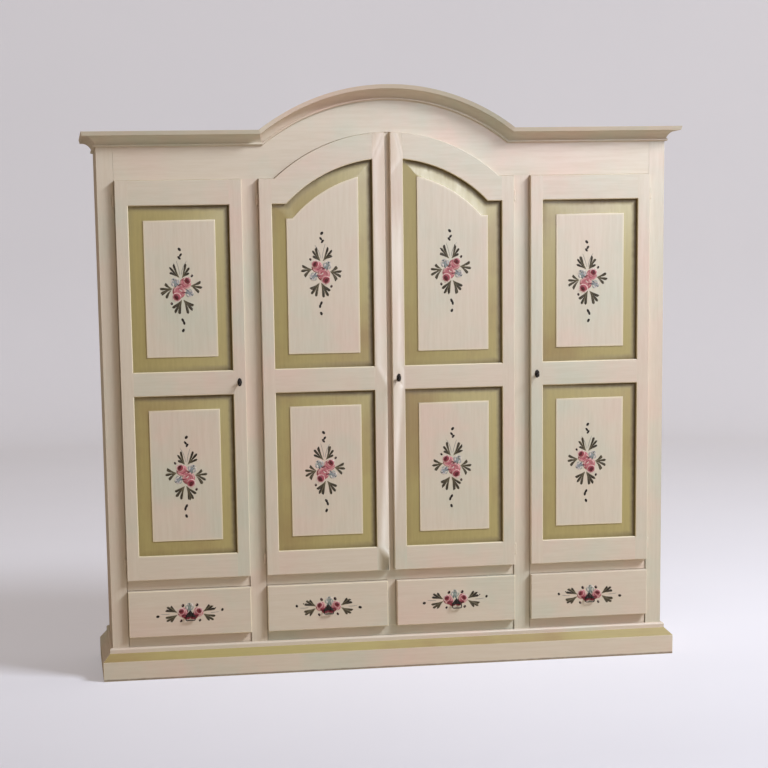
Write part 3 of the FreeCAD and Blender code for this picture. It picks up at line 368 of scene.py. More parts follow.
def along_grain(given):
    """Coordinates drawn out along a board's grain, and moved for each board."""
    shrink = vectors("SUBTRACT", (1.0, 1.0, 1.0), scaled(given["Way"], given["Stretch"]))
    drawn = vectors("MULTIPLY", given["Place"], shrink)
    return {"Place": vectors("ADD", drawn, scaled((3.1, 5.7, 2.3), given["Tone"]))}


def brush_streaks(given):
    """Streaks that a brush leaves along the grain: a mask and a height."""
    wide = noise(given["Place"], given["Scale"], detail=2.0)
    hairs = noise(given["Place"], given["Scale"] * 4.2, detail=2.0)
    height = wide * 0.65 + hairs * 0.35
    return {"Mask": between(height, 0.4, 0.62), "Height": height}


def paint_clouds(given):
    """Soft warm and cool clouds over a base colour."""
    place = vectors("ADD", given["Place"], scaled((0.4, 0.9, 0.7), given["Tone"]))
    warm = between(noise(place, 2.3, detail=4.0), 0.46, 0.66)
    cool = between(noise(vectors("ADD", place, (7.0, 3.0, 5.0)), 2.9, detail=4.0), 0.48, 0.68)
    warmed = blend(warm * given["Amount"], given["Base"], given["Warm"])
    return {"Color": blend(cool * given["Amount"], warmed, given["Cool"])}


def rubbed_paint(given):
    """Patches where the paint is rubbed thin."""
    patches = noise(given["Place"], 22.0, detail=5.0, roughness=0.62)
    grains = noise(given["Place"], 420.0, roughness=0.6)
    edge = 0.72 - given["Amount"] * 0.44
    return {"Mask": between(patches * 0.7 + grains * 0.3, edge, edge + 0.07)}


def softwood_grain(given):
    """Rings and fibres of softwood along the grain: a mask and a height."""
    swell = noise(given["Place"], given["Scale"] * 0.12, detail=2.0, roughness=0.4, distortion=0.6)
    fibres = noise(given["Place"], given["Scale"] * 14.0, detail=2.0)
    rings = between(maths("SINE", swell * 48.0), -0.2, 1.0)
    return {"Rings": rings * between(fibres, 0.25, 0.6, 0.55, 1.0), "Height": rings * 0.4 + fibres}


# Materials. Each function gives what goes into the shader of the material that is named after it
def material(work):
    """The material that a function works out, built when it is first used."""
    made = bpy.data.materials.get(work.__name__)
    if not made:
        made = bpy.data.materials.new(work.__name__)
        made.use_nodes = True
        tree = made.node_tree
        tree.nodes.clear()
        shader = tree.nodes.new("ShaderNodeBsdfPrincipled")
        tree.links.new(shader.outputs[0], tree.nodes.new("ShaderNodeOutputMaterial").inputs[0])
        give(shader, work(tree))
    return made


def board_place(tree, stretch=0.94):
    """A board's own coordinates: plain, and drawn out along its grain. Its tone too."""
    plain = coordinates(tree)
    tone = attribute(tree, "board_tone", "Fac")
    way = attribute(tree, "grain_way", "Vector")
    drawn = use_group(along_grain, {"Place": plain, "Way": way, "Tone": tone, "Stretch": stretch})["Place"]
    return plain, drawn, tone


def painted(tree, base, warm, cool, streak_tone, wear, gloss, marks=None):
    """Brushed and clouded paint, rubbed thin in places. The marks, if any, are laid over it."""
    paint = settings("paint")
    plain, drawn, tone = board_place(tree)
    clouded = use_group(paint_clouds, {"Place": plain, "Tone": tone, "Amount": paint.clouds, "Base": rgba(base),
                                       "Warm": rgba(warm), "Cool": rgba(cool)})["Color"]
    brushed = use_group(brush_streaks, {"Place": drawn, "Scale": 1.0 / paint.streak_width})
    streaked = blend(brushed["Mask"] * paint.streaks, clouded,
                     blend(1.0, clouded, rgba(streak_tone), "MULTIPLY"))
    worn = use_group(rubbed_paint, {"Place": drawn, "Amount": wear})["Mask"]
    laid = blend(worn * 0.85, streaked, rgba(paint.bared))
    roughness = between(brushed["Height"], 0.3, 0.7, 0.64 - gloss, 0.8 - gloss)
    if marks:
        laid, matt = marks(tree, plain, laid)
        roughness = roughness + matt * 0.6
    return {"Base Color": laid, "Roughness": roughness, "Normal": bump(brushed["Height"], 0.1, 0.3 * MM)}


def cream_marks(tree, place, laid):
    """A pale rim on the fields, which is a painted highlight, and a dark band along the floor, partly dirt and
    partly a painted contact shadow. The paint, and where it is matt.
    """
    paint = settings("paint")
    # Painted highlight: a pale band along the edge of each field
    laid = blend(attribute(tree, "rim", "Fac") * 0.75, laid, rgba(paint.bared))
    # Dirt and painted contact shadow: darker within a few millimetres of the floor
    dirt_and_floor_shade = between(parts(place)[2] - noise(place, 35.0) * (4 * MM), 1 * MM, 8 * MM, 0.9, 0.0)
    return blend(dirt_and_floor_shade, laid, rgba(paint.glaze_and_shade)), dirt_and_floor_shade


def olive_marks(tree, place, laid):
    """Dark glaze between a panel and its frame, which also stands in as painted shade for the recess's shadow: full
    on the upper and right-hand bevels and the frame's inner edges, faint on the lower and left-hand bevels.

    Returns the paint, and where it is matt.
    """
    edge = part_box("door_1_panels")[0].y + BEVEL_DEPTH
    uneven = (noise(place, 40.0) - 0.5) * (1.2 * MM)
    # Painted shade in the recess, darker towards the frame's edge
    recess_shade = between(parts(place)[1] + uneven, edge - 2.6 * MM, edge - 0.5 * MM, 0.0, 0.8)
    aside, ahead, above = parts(coordinates(tree, "Normal"))
    # Painted shade: bevels that face up or to the right keep the dark colour, since the light's shadow falls there
    shaded_side = between(aside + above, -0.05, 0.05, 0.2, 1.0)
    on_frame = maths("LESS_THAN", maths("ABSOLUTE", ahead), 0.5)
    recess_shade = recess_shade * maths("MAXIMUM", shaded_side, on_frame)
    return blend(recess_shade, laid, rgba(settings("paint").glaze_and_shade)), recess_shade


def cream_paint_brushed(tree):
    paint = settings("paint")
    return painted(tree, paint.cream, paint.blush, paint.sage, "EAE2D4", wear=0.0, gloss=0.24,
                   marks=cream_marks)


def cream_paint_rubbed(tree):
    paint = settings("paint")
    return painted(tree, paint.cream, paint.blush, paint.bared, "F0E8DC", wear=paint.wear, gloss=0.24)


def olive_paint_brushed(tree):
    paint = settings("paint")
    return painted(tree, paint.olive, paint.olive_shade, paint.olive, "DDD7BC", wear=0.05, gloss=0.34,
                   marks=olive_marks)


def waxed_softwood(tree):
    wood = settings("wood")
    plain, drawn, tone = board_place(tree, stretch=0.93)
    grain = use_group(softwood_grain, {"Place": drawn, "Scale": 1.0 / wood.ring_width})
    ringed = blend(grain["Rings"] * 0.5, rgba(wood.light), rgba(wood.dark))
    return {"Base Color": blend(1.0, ringed, grey(between(tone, 0.0, 1.0, 0.82, 1.06)), "MULTIPLY"),
            "Roughness": between(noise(plain, 30.0), 0.3, 0.7, 0.42, 0.6),
            "Normal": bump(grain["Height"], 0.2, 0.25 * MM)}


def metal(tree, dark, rubbed, roughness, metallic, ripple):
    """Metal with a hammered skin and patches rubbed bright."""
    place = coordinates(tree)
    patches = between(noise(place, 160.0, detail=4.0), 0.42, 0.66)
    return {"Base Color": blend(patches, rgba(dark), rgba(rubbed)),
            "Roughness": between(noise(place, 700.0), 0.3, 0.7, roughness - 0.08, roughness + 0.14),
            "Metallic": metallic,
            "Normal": bump(noise(place, 420.0, detail=2.0), ripple, 0.3 * MM)}


def burnished_iron(tree):
    iron = settings("iron")
    return metal(tree, iron.dark, iron.rubbed, roughness=0.46, metallic=0.55, ripple=0.35)


def dull_steel(tree):
    return metal(tree, settings("iron").steel, "6E6A64", roughness=0.4, metallic=1.0, ripple=0.12)


def spray_strokes(tree):
    """Paint of the sprays: the strokes' own colours with the brush's hairs in them."""
    laid = attribute(tree, "paint", "Color")
    hairs = noise(vectors("MULTIPLY", attribute(tree, "stroke_place", "Vector"), (2.5, 9.0, 40.0)), 1.0)
    darker = blend(1.0, laid, rgba("CFC9C4"), "MULTIPLY")
    return {"Base Color": blend(between(hairs, 0.38, 0.62), laid, darker),
            "Roughness": between(hairs, 0.3, 0.7, 0.55, 0.7),
            "Specular IOR Level": 0.2,
            "Normal": bump(hairs, 0.3, 0.2 * MM)}


def studio_paper(tree):
    """Matt paper that lights nothing itself. Its glow is painted light that only the camera sees, brighter towards
    the back and to the right.
    """
    studio = settings("studio")
    place = coordinates(tree)
    soft = between(noise(place, 0.6), 0.3, 0.7, 0.97, 1.0)
    seen = put("ShaderNodeLightPath", tree=tree)["Is Camera Ray"]
    laid = blend(seen, rgba(studio.bounce), rgba(studio.paper))
    aside, behind, _ = parts(place)
    # Painted light: the paper's glow, seen only by the camera
    glow = between(behind, -1.6, 0.4, 0.37, 0.85) * between(aside, -3.0, 6.0, 0.88, 1.15) * seen
    return {"Base Color": blend(1.0, laid, grey(soft), "MULTIPLY"), "Roughness": 0.9,
            "Specular IOR Level": 0.15, "Emission Color": blend(glow, rgba("000000"), rgba("EEEFF8")),
            "Emission Strength": studio.backlight}


BOARD_MATERIALS = (cream_paint_brushed, cream_paint_rubbed, olive_paint_brushed, waxed_softwood)


# Boards and fittings, from the frame's solids
def solids_of(node):
    """Triangles of each closed solid of a node, as corner points. The frame holds solid after solid."""
    mesh = frame["nodes"][node].data
    points = [tuple(round(value, 6) for value in vertex.co) for vertex in mesh.vertices]
    unmatched, solids, triangles = set(), [], []
    for polygon in mesh.polygons:
        corners = [points[number] for number in polygon.vertices]
        if len(set(corners)) < 3:
            continue
        for side in zip(corners, corners[1:] + corners[:1]):
            if side[::-1] in unmatched:
                unmatched.remove(side[::-1])
            else:
                unmatched.add(side)
        triangles.append(corners)
        if not unmatched:
            solids.append(triangles)
            triangles = []
    return solids


def points_of(triangles):
    """All corner points of a solid."""
    return np.array([corner for corners in triangles for corner in corners])


def box_of(triangles):
    """Lowest and highest corners of a solid."""
    points = points_of(triangles)
    return Vector(points.min(axis=0)), Vector(points.max(axis=0))


def longest_way(triangles):
    """The axis along which a solid is longest, as a vector."""
    way = [0.0, 0.0, 0.0]
    way[int(np.ptp(points_of(triangles), axis=0).argmax())] = 1.0
    return way


def sharp_edges(form):
    """Edges between two faces that meet at an angle, without those of a rounding made before."""
    return [edge for edge in form.edges if len(edge.link_faces) == 2 and edge.calc_face_angle(0.0) > SHARP_ANGLE
            and EDGE not in [face.material_index for face in edge.link_faces]]


def inset_rim(form, layer, width):
    """Parts off a band round the front of a solid, whose rim value falls from 1 at the outside to 0."""
    front = min(vertex.co.y for vertex in form.verts)
    field = [face for face in form.faces if face.normal.y < -0.99 and face.calc_center_median().y < front + NEAR]
    for value in (1.0, 0.0):
        for vertex in {vertex for face in field for vertex in face.verts}:
            vertex[layer] = value
        if value:
            bmesh.ops.inset_region(form, faces=field, thickness=width, use_boundary=True, use_even_offset=True)
    form.normal_update()


def rounded_solid(triangles, paint_of, width_of, cuts, rim):
    """A solid with flat faces made whole, its paint slots set and its edges rounded.

    cuts are heights at which faces are parted, and rim is the width of a band round the front of a field.
    """
    form = bmesh.new()
    rim_layer = form.verts.layers.float.new("rim")
    known = {}
    for corners in triangles:
        for corner in corners:
            if corner not in known:
                known[corner] = form.verts.new(corner)
        form.faces.new([known[corner] for corner in corners])
    form.normal_update()
    bmesh.ops.dissolve_limit(form, angle_limit=FLAT_ANGLE, verts=form.verts, edges=form.edges)
    for height in cuts:
        bmesh.ops.bisect_plane(form, geom=form.verts[:] + form.edges[:] + form.faces[:], dist=1e-5,
                               plane_co=(0, 0, height), plane_no=(0, 0, 1))
    form.normal_update()
    if rim > 0:
        inset_rim(form, rim_layer, rim)
    for face in form.faces:
        face.material_index = paint_of(face)
    widths = {width_of(edge) for edge in sharp_edges(form)}
    for width in sorted((width for width in widths if width > 0), reverse=True):
        edges = [edge for edge in sharp_edges(form) if width_of(edge) == width]
        if edges:
            bmesh.ops.bevel(form, geom=edges, offset=width, offset_type="OFFSET", segments=2, profile=0.5,
                            affect="EDGES", clamp_overlap=True, material=EDGE)
            form.normal_update()
    for face in form.faces:
        face.smooth = True
        if face.material_index == EDGE:
            beside = set(other.material_index for edge in face.edges for other in edge.link_faces)
            if not beside & {PAINT, OLIVE} and WOOD in beside:
                face.material_index = WOOD
    return form


def store(mesh, name, kind, values):
    """Keeps values on a mesh's points."""
    part = {"FLOAT": "value", "FLOAT_VECTOR": "vector", "FLOAT_COLOR": "color"}[kind]
    mesh.attributes.new(name, kind, "POINT").data.foreach_set(part, values)


def linked(name, data):
    """A new object in the scene."""
    made = bpy.data.objects.new(name, data)
    bpy.context.scene.collection.objects.link(made)
    return made


def make_plain(piece):
    """Turns a piece and its modifiers into a plain mesh."""
    bpy.context.view_layer.update()
    shown = bpy.context.evaluated_depsgraph_get()
    plain = bpy.data.meshes.new_from_object(piece.evaluated_get(shown), preserve_all_data_layers=True,
                                            depsgraph=shown)
    piece.modifiers.clear()
    piece.data = plain


def finished_piece(node, width_of, paint_of=lambda face: PAINT, cuts=(), rim=0.0, materials=BOARD_MATERIALS):
    """One node with rounded edges and its finish, in place of the plain one.

    width_of gives the rounding of an edge, or is one width for all, and paint_of gives the slot of a face.
    """
    rounding = width_of if callable(width_of) else lambda edge: width_of
    mesh = bpy.data.meshes.new(node + "_finished")
    whole = bmesh.new()
    ways, tones, rims = [], [], []
    dice = random.Random(node)
    for triangles in solids_of(node):
        form = rounded_solid(triangles, paint_of, rounding, cuts, rim)
        layer = form.verts.layers.float["rim"]
        rims += [vertex[layer] for vertex in form.verts]
        ways += longest_way(triangles) * len(form.verts)
        tones += [dice.random()] * len(form.verts)
        form.verts.layers.float.remove(layer)
        part = bpy.data.meshes.new("part")
        form.to_mesh(part)
        form.free()
        whole.from_mesh(part)
        bpy.data.meshes.remove(part)
    whole.to_mesh(mesh)
    whole.free()
    store(mesh, "grain_way", "FLOAT_VECTOR", ways)
    store(mesh, "board_tone", "FLOAT", tones)
    if rim > 0:
        store(mesh, "rim", "FLOAT", rims)
    for work in materials:
        mesh.materials.append(material(work))
    piece = linked(node + "_finished", mesh)
    piece.modifiers.new("even_shading", "WEIGHTED_NORMAL")
    make_plain(piece)
    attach(piece, body_of(node))
    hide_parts(node)
    slot_of(node)


def front_paint(face):
    """Paint on a board at the front, bare wood where it faces the inside."""
    return WOOD if face.normal.y > ALONG else PAINT


def side_panel_paint(face):
    """Paint on the outside of a side panel."""
    outside = face.normal.x * face.calc_center_median().x > 0
    return PAINT if outside or face.normal.y < -ALONG else WOOD


def plinth_cap_paint(face):
    """Olive on the slope of the plinth's moulding along the front."""
    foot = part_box("plinth_boards")[1].z
    at_slope = foot < face.calc_center_median().z < foot + SLOPE_HEIGHT
    return OLIVE if at_slope and 0.2 < face.normal.z < 0.95 and face.normal.y < -0.2 else PAINT


def plinth_board_width(edge):
    """A wider rounding along the floor."""
    paint = settings("paint")
    return paint.floor_rounding if max(vertex.co.z for vertex in edge.verts) < MM else paint.edge_rounding


def covers(triangles, x, z):
    """If a solid, seen from the front, covers a point."""
    for first, second, third in triangles:
        turns = [(b[0] - a[0]) * (z - a[2]) - (b[2] - a[2]) * (x - a[0])
                 for a, b in ((first, second), (second, third), (third, first))]
        if min(turns) >= 0 or max(turns) <= 0:
            return True
    return False


def door_frame_paint(door):
    """Olive on the inner edges round the panels, bare wood at the back, cream elsewhere."""
    panels = solids_of(door + "_panels")

    def paint_of(face):
        probe = face.calc_center_median() + face.normal * 6 * MM
        beside_panel = any(covers(panel, probe.x, probe.z) for panel in panels)
        return OLIVE if abs(face.normal.y) < ACROSS and beside_panel else front_paint(face)
    return paint_of


def door_frame_width(door):
    """A wide rounding round the panels, a middling one round the door and a fine one at the joints."""
    paint = settings("paint")
    low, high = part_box(door + "_frame")

    def width_of(edge):
        if {face.material_index for face in edge.link_faces} == {PAINT, OLIVE}:
            return paint.recess_rounding
        middle = (edge.verts[0].co + edge.verts[1].co) / 2
        inwards = min(middle.x - low.x, high.x - middle.x, middle.z - low.z, high.z - middle.z)
        return paint.edge_rounding if inwards < NEAR else paint.joint_rounding
    return width_of


def rail_heights(door):
    """Heights at which a door's rails begin and end along its stiles."""
    edges, rails, heights = set(), [], set()
    for triangles in solids_of(door + "_frame"):
        low, high = box_of(triangles)
        if high.x - low.x < high.z - low.z:
            edges |= {low.x, high.x}
        else:
            rails.append(points_of(triangles))
    for rail in rails:
        for edge in edges:
            met = rail[abs(rail[:, 0] - edge) < MM / 20, 2]
            if len(met):
                heights |= {round(met.min(), 5), round(met.max(), 5)}
    return sorted(heights)


def panel_paint(door):
    """Cream on the raised field, olive on its step and border, bare wood at the back."""
    field_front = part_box(door + "_panels")[0].y

    def paint_of(face):
        on_field = face.calc_center_median().y < field_front + 0.3 * MM
        return front_paint(face) if on_field or face.normal.y > ALONG else OLIVE
    return paint_of


def panel_width(edge):
    """A wider rounding between the field and its step."""
    paint = settings("paint")
    at_field = {face.material_index for face in edge.link_faces} == {PAINT, OLIVE}
    return paint.field_rounding if at_field else paint.panel_rounding


# Sprays, made of brush strokes by geometry nodes
def named(tree, name, kind="FLOAT"):
    """A value stored on the geometry."""
    return put("GeometryNodeInputNamedAttribute", {"Name": name}, tree, data_type=kind)[0]


def keep(geometry, name, value, kind="FLOAT"):
    """The geometry with a value stored on its points."""
    return put("GeometryNodeStoreNamedAttribute", {"Geometry": geometry, "Name": name, "Value": value},
               data_type=kind, domain="POINT")[0]


def strokes_tree():
    """Geometry nodes that lay one bent, domed brush stroke at each point."""
    tree = bpy.data.node_groups.new("brush_strokes", "GeometryNodeTree")
    tree.is_modifier = True
    for label, kind in {"Geometry": "Geometry", "Relief": "Float", "Coat": "Float", "Plane": "Float",
                        "Steps along": "Int", "Paint": "Material"}.items():
        tree.interface.new_socket(label, in_out="INPUT", socket_type="NodeSocket" + kind)
    tree.interface.new_socket("Geometry", in_out="OUTPUT", socket_type="NodeSocketGeometry")
    given = outputs_of(tree.nodes.new("NodeGroupInput"))
    sheet = put("GeometryNodeMeshGrid", {"Size X": 1.0, "Size Y": 2.0, "Vertices X": given["Steps along"],
                                         "Vertices Y": STEPS_ACROSS})[0]
    x, y, _ = parts(put("GeometryNodeInputPosition", tree=tree)[0])
    sheet = keep(sheet, "along", x + 0.5)
    sheet = keep(sheet, "across", maths("MAXIMUM", maths("MINIMUM", y * 1.5, 1.0), -1.0))
    sheet = keep(sheet, "lifted", maths("LESS_THAN", maths("ABSOLUTE", y), 0.9))
    laid = put("GeometryNodeInstanceOnPoints", {"Points": given["Geometry"], "Instance": sheet})[0]
    laid = put("GeometryNodeRealizeInstances", {"Geometry": laid})[0]

    u, v, grow, fall, bend, reach, heading = [named(tree, name) for name in (
        "along", "across", "grow", "fall", "bend", "reach", "heading")]
    both = grow + fall
    peak = (grow / both) ** grow * (fall / both) ** fall
    swell = u ** grow * (1.0 - u) ** fall / peak
    radius = reach / bend
    side = named(tree, "half_width") * swell * v
    sine, cosine = maths("SINE", bend * u), maths("COSINE", bend * u)
    ahead = radius * sine - side * sine
    aside = radius * (1.0 - cosine) + side * cosine
    sine, cosine = maths("SINE", heading), maths("COSINE", heading)
    dome = (1.0 - v * v) * (given["Relief"] * swell)
    lift = (dome + named(tree, "coat") * given["Coat"]) * named(tree, "lifted")
    foot = parts(named(tree, "foot", "FLOAT_VECTOR"))
    place = joined(foot[0] + (ahead * cosine - aside * sine), given["Plane"] - lift,
                   foot[2] + (ahead * sine + aside * cosine))
    laid = put("GeometryNodeSetPosition", {"Geometry": laid, "Position": place})[0]
    mixed = blend(between(v, -0.7, 0.7), named(tree, "first_tone", "FLOAT_COLOR"),
                  named(tree, "second_tone", "FLOAT_COLOR"))
    laid = keep(laid, "paint", mixed, "FLOAT_COLOR")
    laid = keep(laid, "stroke_place", joined(u, v, named(tree, "draw")), "FLOAT_VECTOR")
    laid = put("GeometryNodeSetShadeSmooth", {0: laid})[0]
    laid = put("GeometryNodeSetMaterial", {"Geometry": laid, "Material": given["Paint"]})[0]
    give(tree.nodes.new("NodeGroupOutput"), {"Geometry": laid})
    return tree


def off(x, z, reach, angle):
    """The place at a distance from another, along an angle in degrees."""
    turn = math.radians(angle)
    return x + reach * math.cos(turn), z + reach * math.sin(turn)


class Brush:
    """Collects the strokes of one piece. Places are in millimetres from a spray's middle, angles in degrees."""

    def __init__(self, draw):
        self.strokes = []
        self.dice = random.Random(draw)
        self.tone = settings("sprays")

    def start(self, middle, hand):
        """Moves on to another spray: its middle, and 1 or -1 for the side to which it leans."""
        self.middle = middle
        self.hand = hand

    def stroke(self, x, z, angle, reach, width, tones, belly=LEAF_BELLY, bend=0.0, coat=1):
        """One stroke from its foot. The tones are those of its two sides."""
        slack = self.tone.unevenness
        x += self.dice.uniform(-1, 1) * slack
        z += self.dice.uniform(-1, 1) * slack
        angle += self.dice.uniform(-6, 6) * slack
        reach *= 1 + self.dice.uniform(-0.1, 0.1) * slack
        curve = math.radians(bend) * self.hand
        first, second = tones[::self.hand]
        self.strokes.append({
            "foot": self.middle + Vector((x * self.hand, 0, z)) * MM,
            "heading": math.radians(angle if self.hand > 0 else 180 - angle),
            "reach": reach * MM, "half_width": width * MM / 2,
            "bend": LEAST_BEND if abs(curve) < LEAST_BEND else curve,
            "grow": belly[0], "fall": belly[1], "coat": float(coat), "draw": self.dice.random(),
            "first_tone": rgba(first), "second_tone": rgba(second)})

    def ring(self, x, z, radius, start, sweep, width, tones, coat):
        """A stroke along part of a circle."""
        self.stroke(*off(x, z, radius, start), start + (90 if sweep > 0 else -90),
                    radius * math.radians(abs(sweep)), width, tones, CRESCENT_BELLY, sweep, coat)

    def spot(self, x, z, angle, reach, width, tones, coat=1):
        """A round or oval touch of the brush about its middle."""
        self.stroke(*off(x, z, -reach / 2, angle), angle, reach, width, tones, ROUND_BELLY, 0.0, coat)

    def piece(self, name, plane, node):
        """All the strokes as one plain mesh on a plane, riding on a node's body."""
        points = bpy.data.meshes.new(name + "_points")
        points.vertices.add(len(self.strokes))
        points.vertices.foreach_set("co", np.ravel([stroke["foot"] for stroke in self.strokes]))
        for label in self.strokes[0]:
            kind = {"foot": "FLOAT_VECTOR", "first_tone": "FLOAT_COLOR", "second_tone": "FLOAT_COLOR"}
            store(points, label, kind.get(label, "FLOAT"), np.ravel([stroke[label] for stroke in self.strokes]))
        piece = linked(name, points)
        modifier = piece.modifiers.new("strokes", "NODES")
        modifier.node_group = bpy.data.node_groups.get("brush_strokes") or strokes_tree()
        inputs = {"Relief": self.tone.relief, "Coat": self.tone.coat, "Plane": plane,
                  "Steps along": STEPS_ALONG, "Paint": material(spray_strokes)}
        for item in modifier.node_group.interface.items_tree:
            if item.name in inputs:
                modifier[item.identifier] = inputs[item.name]
        make_plain(piece)
        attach(piece, body_of(node))


def paint_rose(brush, x, z, radius, cup_x, cup_z):
    """A cabbage rose: a full body of wrapping petals about one place, and a cup with a pale rim at another."""
    tone = brush.tone
    facing = math.degrees(math.atan2(cup_z - z, cup_x - x))
    brush.spot(x, z, facing, 2.05 * radius, 2.15 * radius, (tone.rose, tone.rose), 2)
    for out, start, sweep, width, tones, coat in (
            (0.8, 200, 96, 0.42, (tone.rose_light, tone.rose), 3),
            (0.8, 165, -84, 0.4, (tone.rose, tone.rose_light), 3),
            (0.46, 128, 104, 0.3, (tone.rose_deep, tone.rose), 4)):
        brush.ring(x, z, radius * out, facing + start, sweep, radius * width, tones, coat)
    for turn, reach, width, tones, coat in (
            (90, 1.6, 1.4, (tone.white, tone.rose_light), 5),
            (90, 1.3, 1.1, (tone.rose, tone.rose_deep), 6),
            (70, 1.04, 0.78, (tone.heart, tone.rose_deep), 7),
            (60, 0.7, 0.4, (tone.heart, tone.heart), 8)):
        brush.spot(cup_x, cup_z, facing + turn, reach * radius, width * radius, tones, coat)
    for start in (-62, -12, 38):
        brush.ring(cup_x, cup_z, radius * 0.7, facing + start, 42, radius * 0.24,
                   (tone.white, tone.rose_light), 8)
    brush.ring(cup_x, cup_z, radius * 0.6, facing + 130, 84, radius * 0.22, (tone.rose_light, tone.rose), 8)


def paint_small_flower(brush, x, z, radius, start, first, second):
    """A small soft flower: a round body, pale dabs along its outer side and dark strokes on the other."""
    tone = brush.tone
    brush.spot(x, z, start, radius * 1.7, radius * 1.6, (first, second), 1)
    for number in range(5):
        angle = start - 100 + number * 50
        brush.spot(*off(x, z, radius * 0.66, angle), angle + 80, radius * 0.84, radius * 0.56,
                   (tone.white, second) if number % 2 else (first, tone.white), 2)
    for aside, reach in ((150, 0.9), (196, 1.1), (-6, 0.7)):
        brush.stroke(*off(x, z, radius * 0.24, start + aside), start + aside, radius * reach, 5.0,
                     (tone.ink, second), LEAF_BELLY, 24.0, 3)


def paint_leaf(brush, x, z, tips, width, fade=0.0):
    """A feathered leaf: full commas from one foot to each tip. Tips are places from the spray's middle."""
    dark = Vector(brush.tone.leaf_dark).lerp(Vector(brush.tone.leaf), fade)
    light = Vector(brush.tone.leaf).lerp(dark, 0.1)
    ways = [Vector((tip_x - x, tip_z - z)) for tip_x, tip_z in tips]
    main = sum((way.normalized() for way in ways), Vector((0.0, 0.0)))
    heading = math.degrees(math.atan2(main.y, main.x))
    brush.stroke(x, z, heading, max(way.length for way in ways) * 0.5, width * 0.8, (light, light))
    for number, way in enumerate(ways):
        aside = math.degrees(math.atan2(main.cross(way), main.dot(way)))
        bend = aside * 0.9
        brush.stroke(x + way.x * 0.14, z + way.y * 0.14, heading + aside - bend / 2, way.length * 0.9,
                     width * 0.78, (dark, light) if aside > 0 else (light, dark), TIP_BELLY, bend, 2 + number % 2)
        brush.stroke(x + way.x * 0.44, z + way.y * 0.44, heading + aside, way.length * 0.6,
                     width * 0.4, (dark, dark), TIP_BELLY, bend * 0.5, 4)


def paint_tendril(brush, x, z, angle, reach, bend):
    """A thin curling stem."""
    brush.stroke(x, z, angle, reach, 1.8, (brush.tone.leaf, brush.tone.blue), LINE_BELLY, bend)


def paint_berry(brush, x, z, size, angle=60.0):
    """A dark berry with a glint."""
    tone = brush.tone
    brush.spot(x, z, angle, size * 1.3, size, (tone.berry, tone.leaf_dark), 3)
    brush.spot(x - size * 0.16, z + size * 0.2, angle, size * 0.36, size * 0.2, (tone.rose_light, tone.rose), 4)


def paint_dabs(brush, rows):
    """Dark commas at a spray's ends. A row is a place, an angle, a length and a width."""
    for row in rows:
        brush.spot(*row, (brush.tone.berry, brush.tone.leaf_dark))


def paint_panel_spray(brush):
    """The upright spray of a door panel: two roses, two small flowers, leaves, tendrils and berries."""
    tone = brush.tone
    paint_tendril(brush, -3, 50, 99, 58, 12)
    paint_tendril(brush, 2, 50, 86, 60, -34)
    for x, z, tips, width, fade in (
            (-5, 42, ((-27, 92), (-40, 82), (-41, 62)), 11.5, 0.0),
            (4, 42, ((20, 93), (32, 80), (31, 60)), 11.5, 0.1),
            (-32, 2, ((-60, 20), (-77, 3), (-74, -18), (-58, -32)), 12.5, 0.2),
            (36, 12, ((74, 26), (78, 5), (66, -14)), 13.0, 0.2),
            (2, -40, ((-9, -92), (-25, -88), (-33, -70)), 13.5, 0.1),
            (8, -40, ((24, -90), (39, -80), (44, -62)), 13.5, 0.15)):
        paint_leaf(brush, x, z, tips, width, fade)
    paint_small_flower(brush, -22, 25, 18, 120, tone.blue, tone.teal)
    paint_small_flower(brush, 31, -16, 17, -30, tone.teal, tone.blue)
    brush.spot(2, 4, 60, 32, 30, (tone.rose, tone.rose_deep))
    paint_rose(brush, 16, 20, 20, 24, 31)
    paint_rose(brush, -8, -11, 23, -17, -30)
    brush.ring(0, 6, 12, 70, 90, 5.0, (tone.heart, tone.rose_deep), 9)
    brush.ring(7, -1, 13, 250, 70, 4.5, (tone.heart, tone.rose_deep), 9)
    brush.ring(3, 2, 10, 190, 90, 5.0, (tone.rose_light, tone.white), 9)
    paint_berry(brush, -37, -54, 9.0, 110)
    paint_berry(brush, 42, 49, 8.5)
    paint_dabs(brush, ((-3, 148, 130, 15, 10.5), (1, 127, 232, 15, 8.5), (-5, 117, -52, 16, 8.5),
                       (3, -118, -62, 17, 9.5), (8, -128, -80, 16, 9.0), (4, -156, 68, 15, 10.0)))


def paint_drawer_spray(brush):
    """The long spray of a drawer: a rose at each side, a small flower over the pull, leaves and dots."""
    tone = brush.tone
    for way in (-1, 1):
        paint_leaf(brush, way * 50, 2, [(way * x, z) for x, z in ((94, 12), (88, 24), (74, 28))], 12.0)
        paint_leaf(brush, way * 50, -6, [(way * x, z) for x, z in ((96, -18), (90, -30), (74, -33))], 12.0, 0.25)
        paint_tendril(brush, way * 78, -2, (0 if way > 0 else 180) - way * 4, 36, way * 12)
        brush.spot(way * 22, -5, 90, 24, 26, (tone.rose, tone.rose_deep))
        brush.ring(way * 12, -6, 15, 200, 140, 12.0, (tone.rose_deep, tone.heart), 4)
        paint_rose(brush, way * 31, 2, 18, way * 35, 6)
        brush.stroke(way * 10, -9, 90 - way * 98, 24, 12.0, (tone.heart, tone.rose_deep), LEAF_BELLY, 12, 9)
        paint_berry(brush, way * 27, 29, 10.5)
        paint_berry(brush, way * 37, -31, 9.0)
    paint_dabs(brush, ((-126, -10, 10, 14, 10.5), (125, 7, 60, 12, 9.5), (98, 15, 60, 6, 4.5)))
    paint_small_flower(brush, -3, 22, 18, 90, tone.teal, tone.teal)


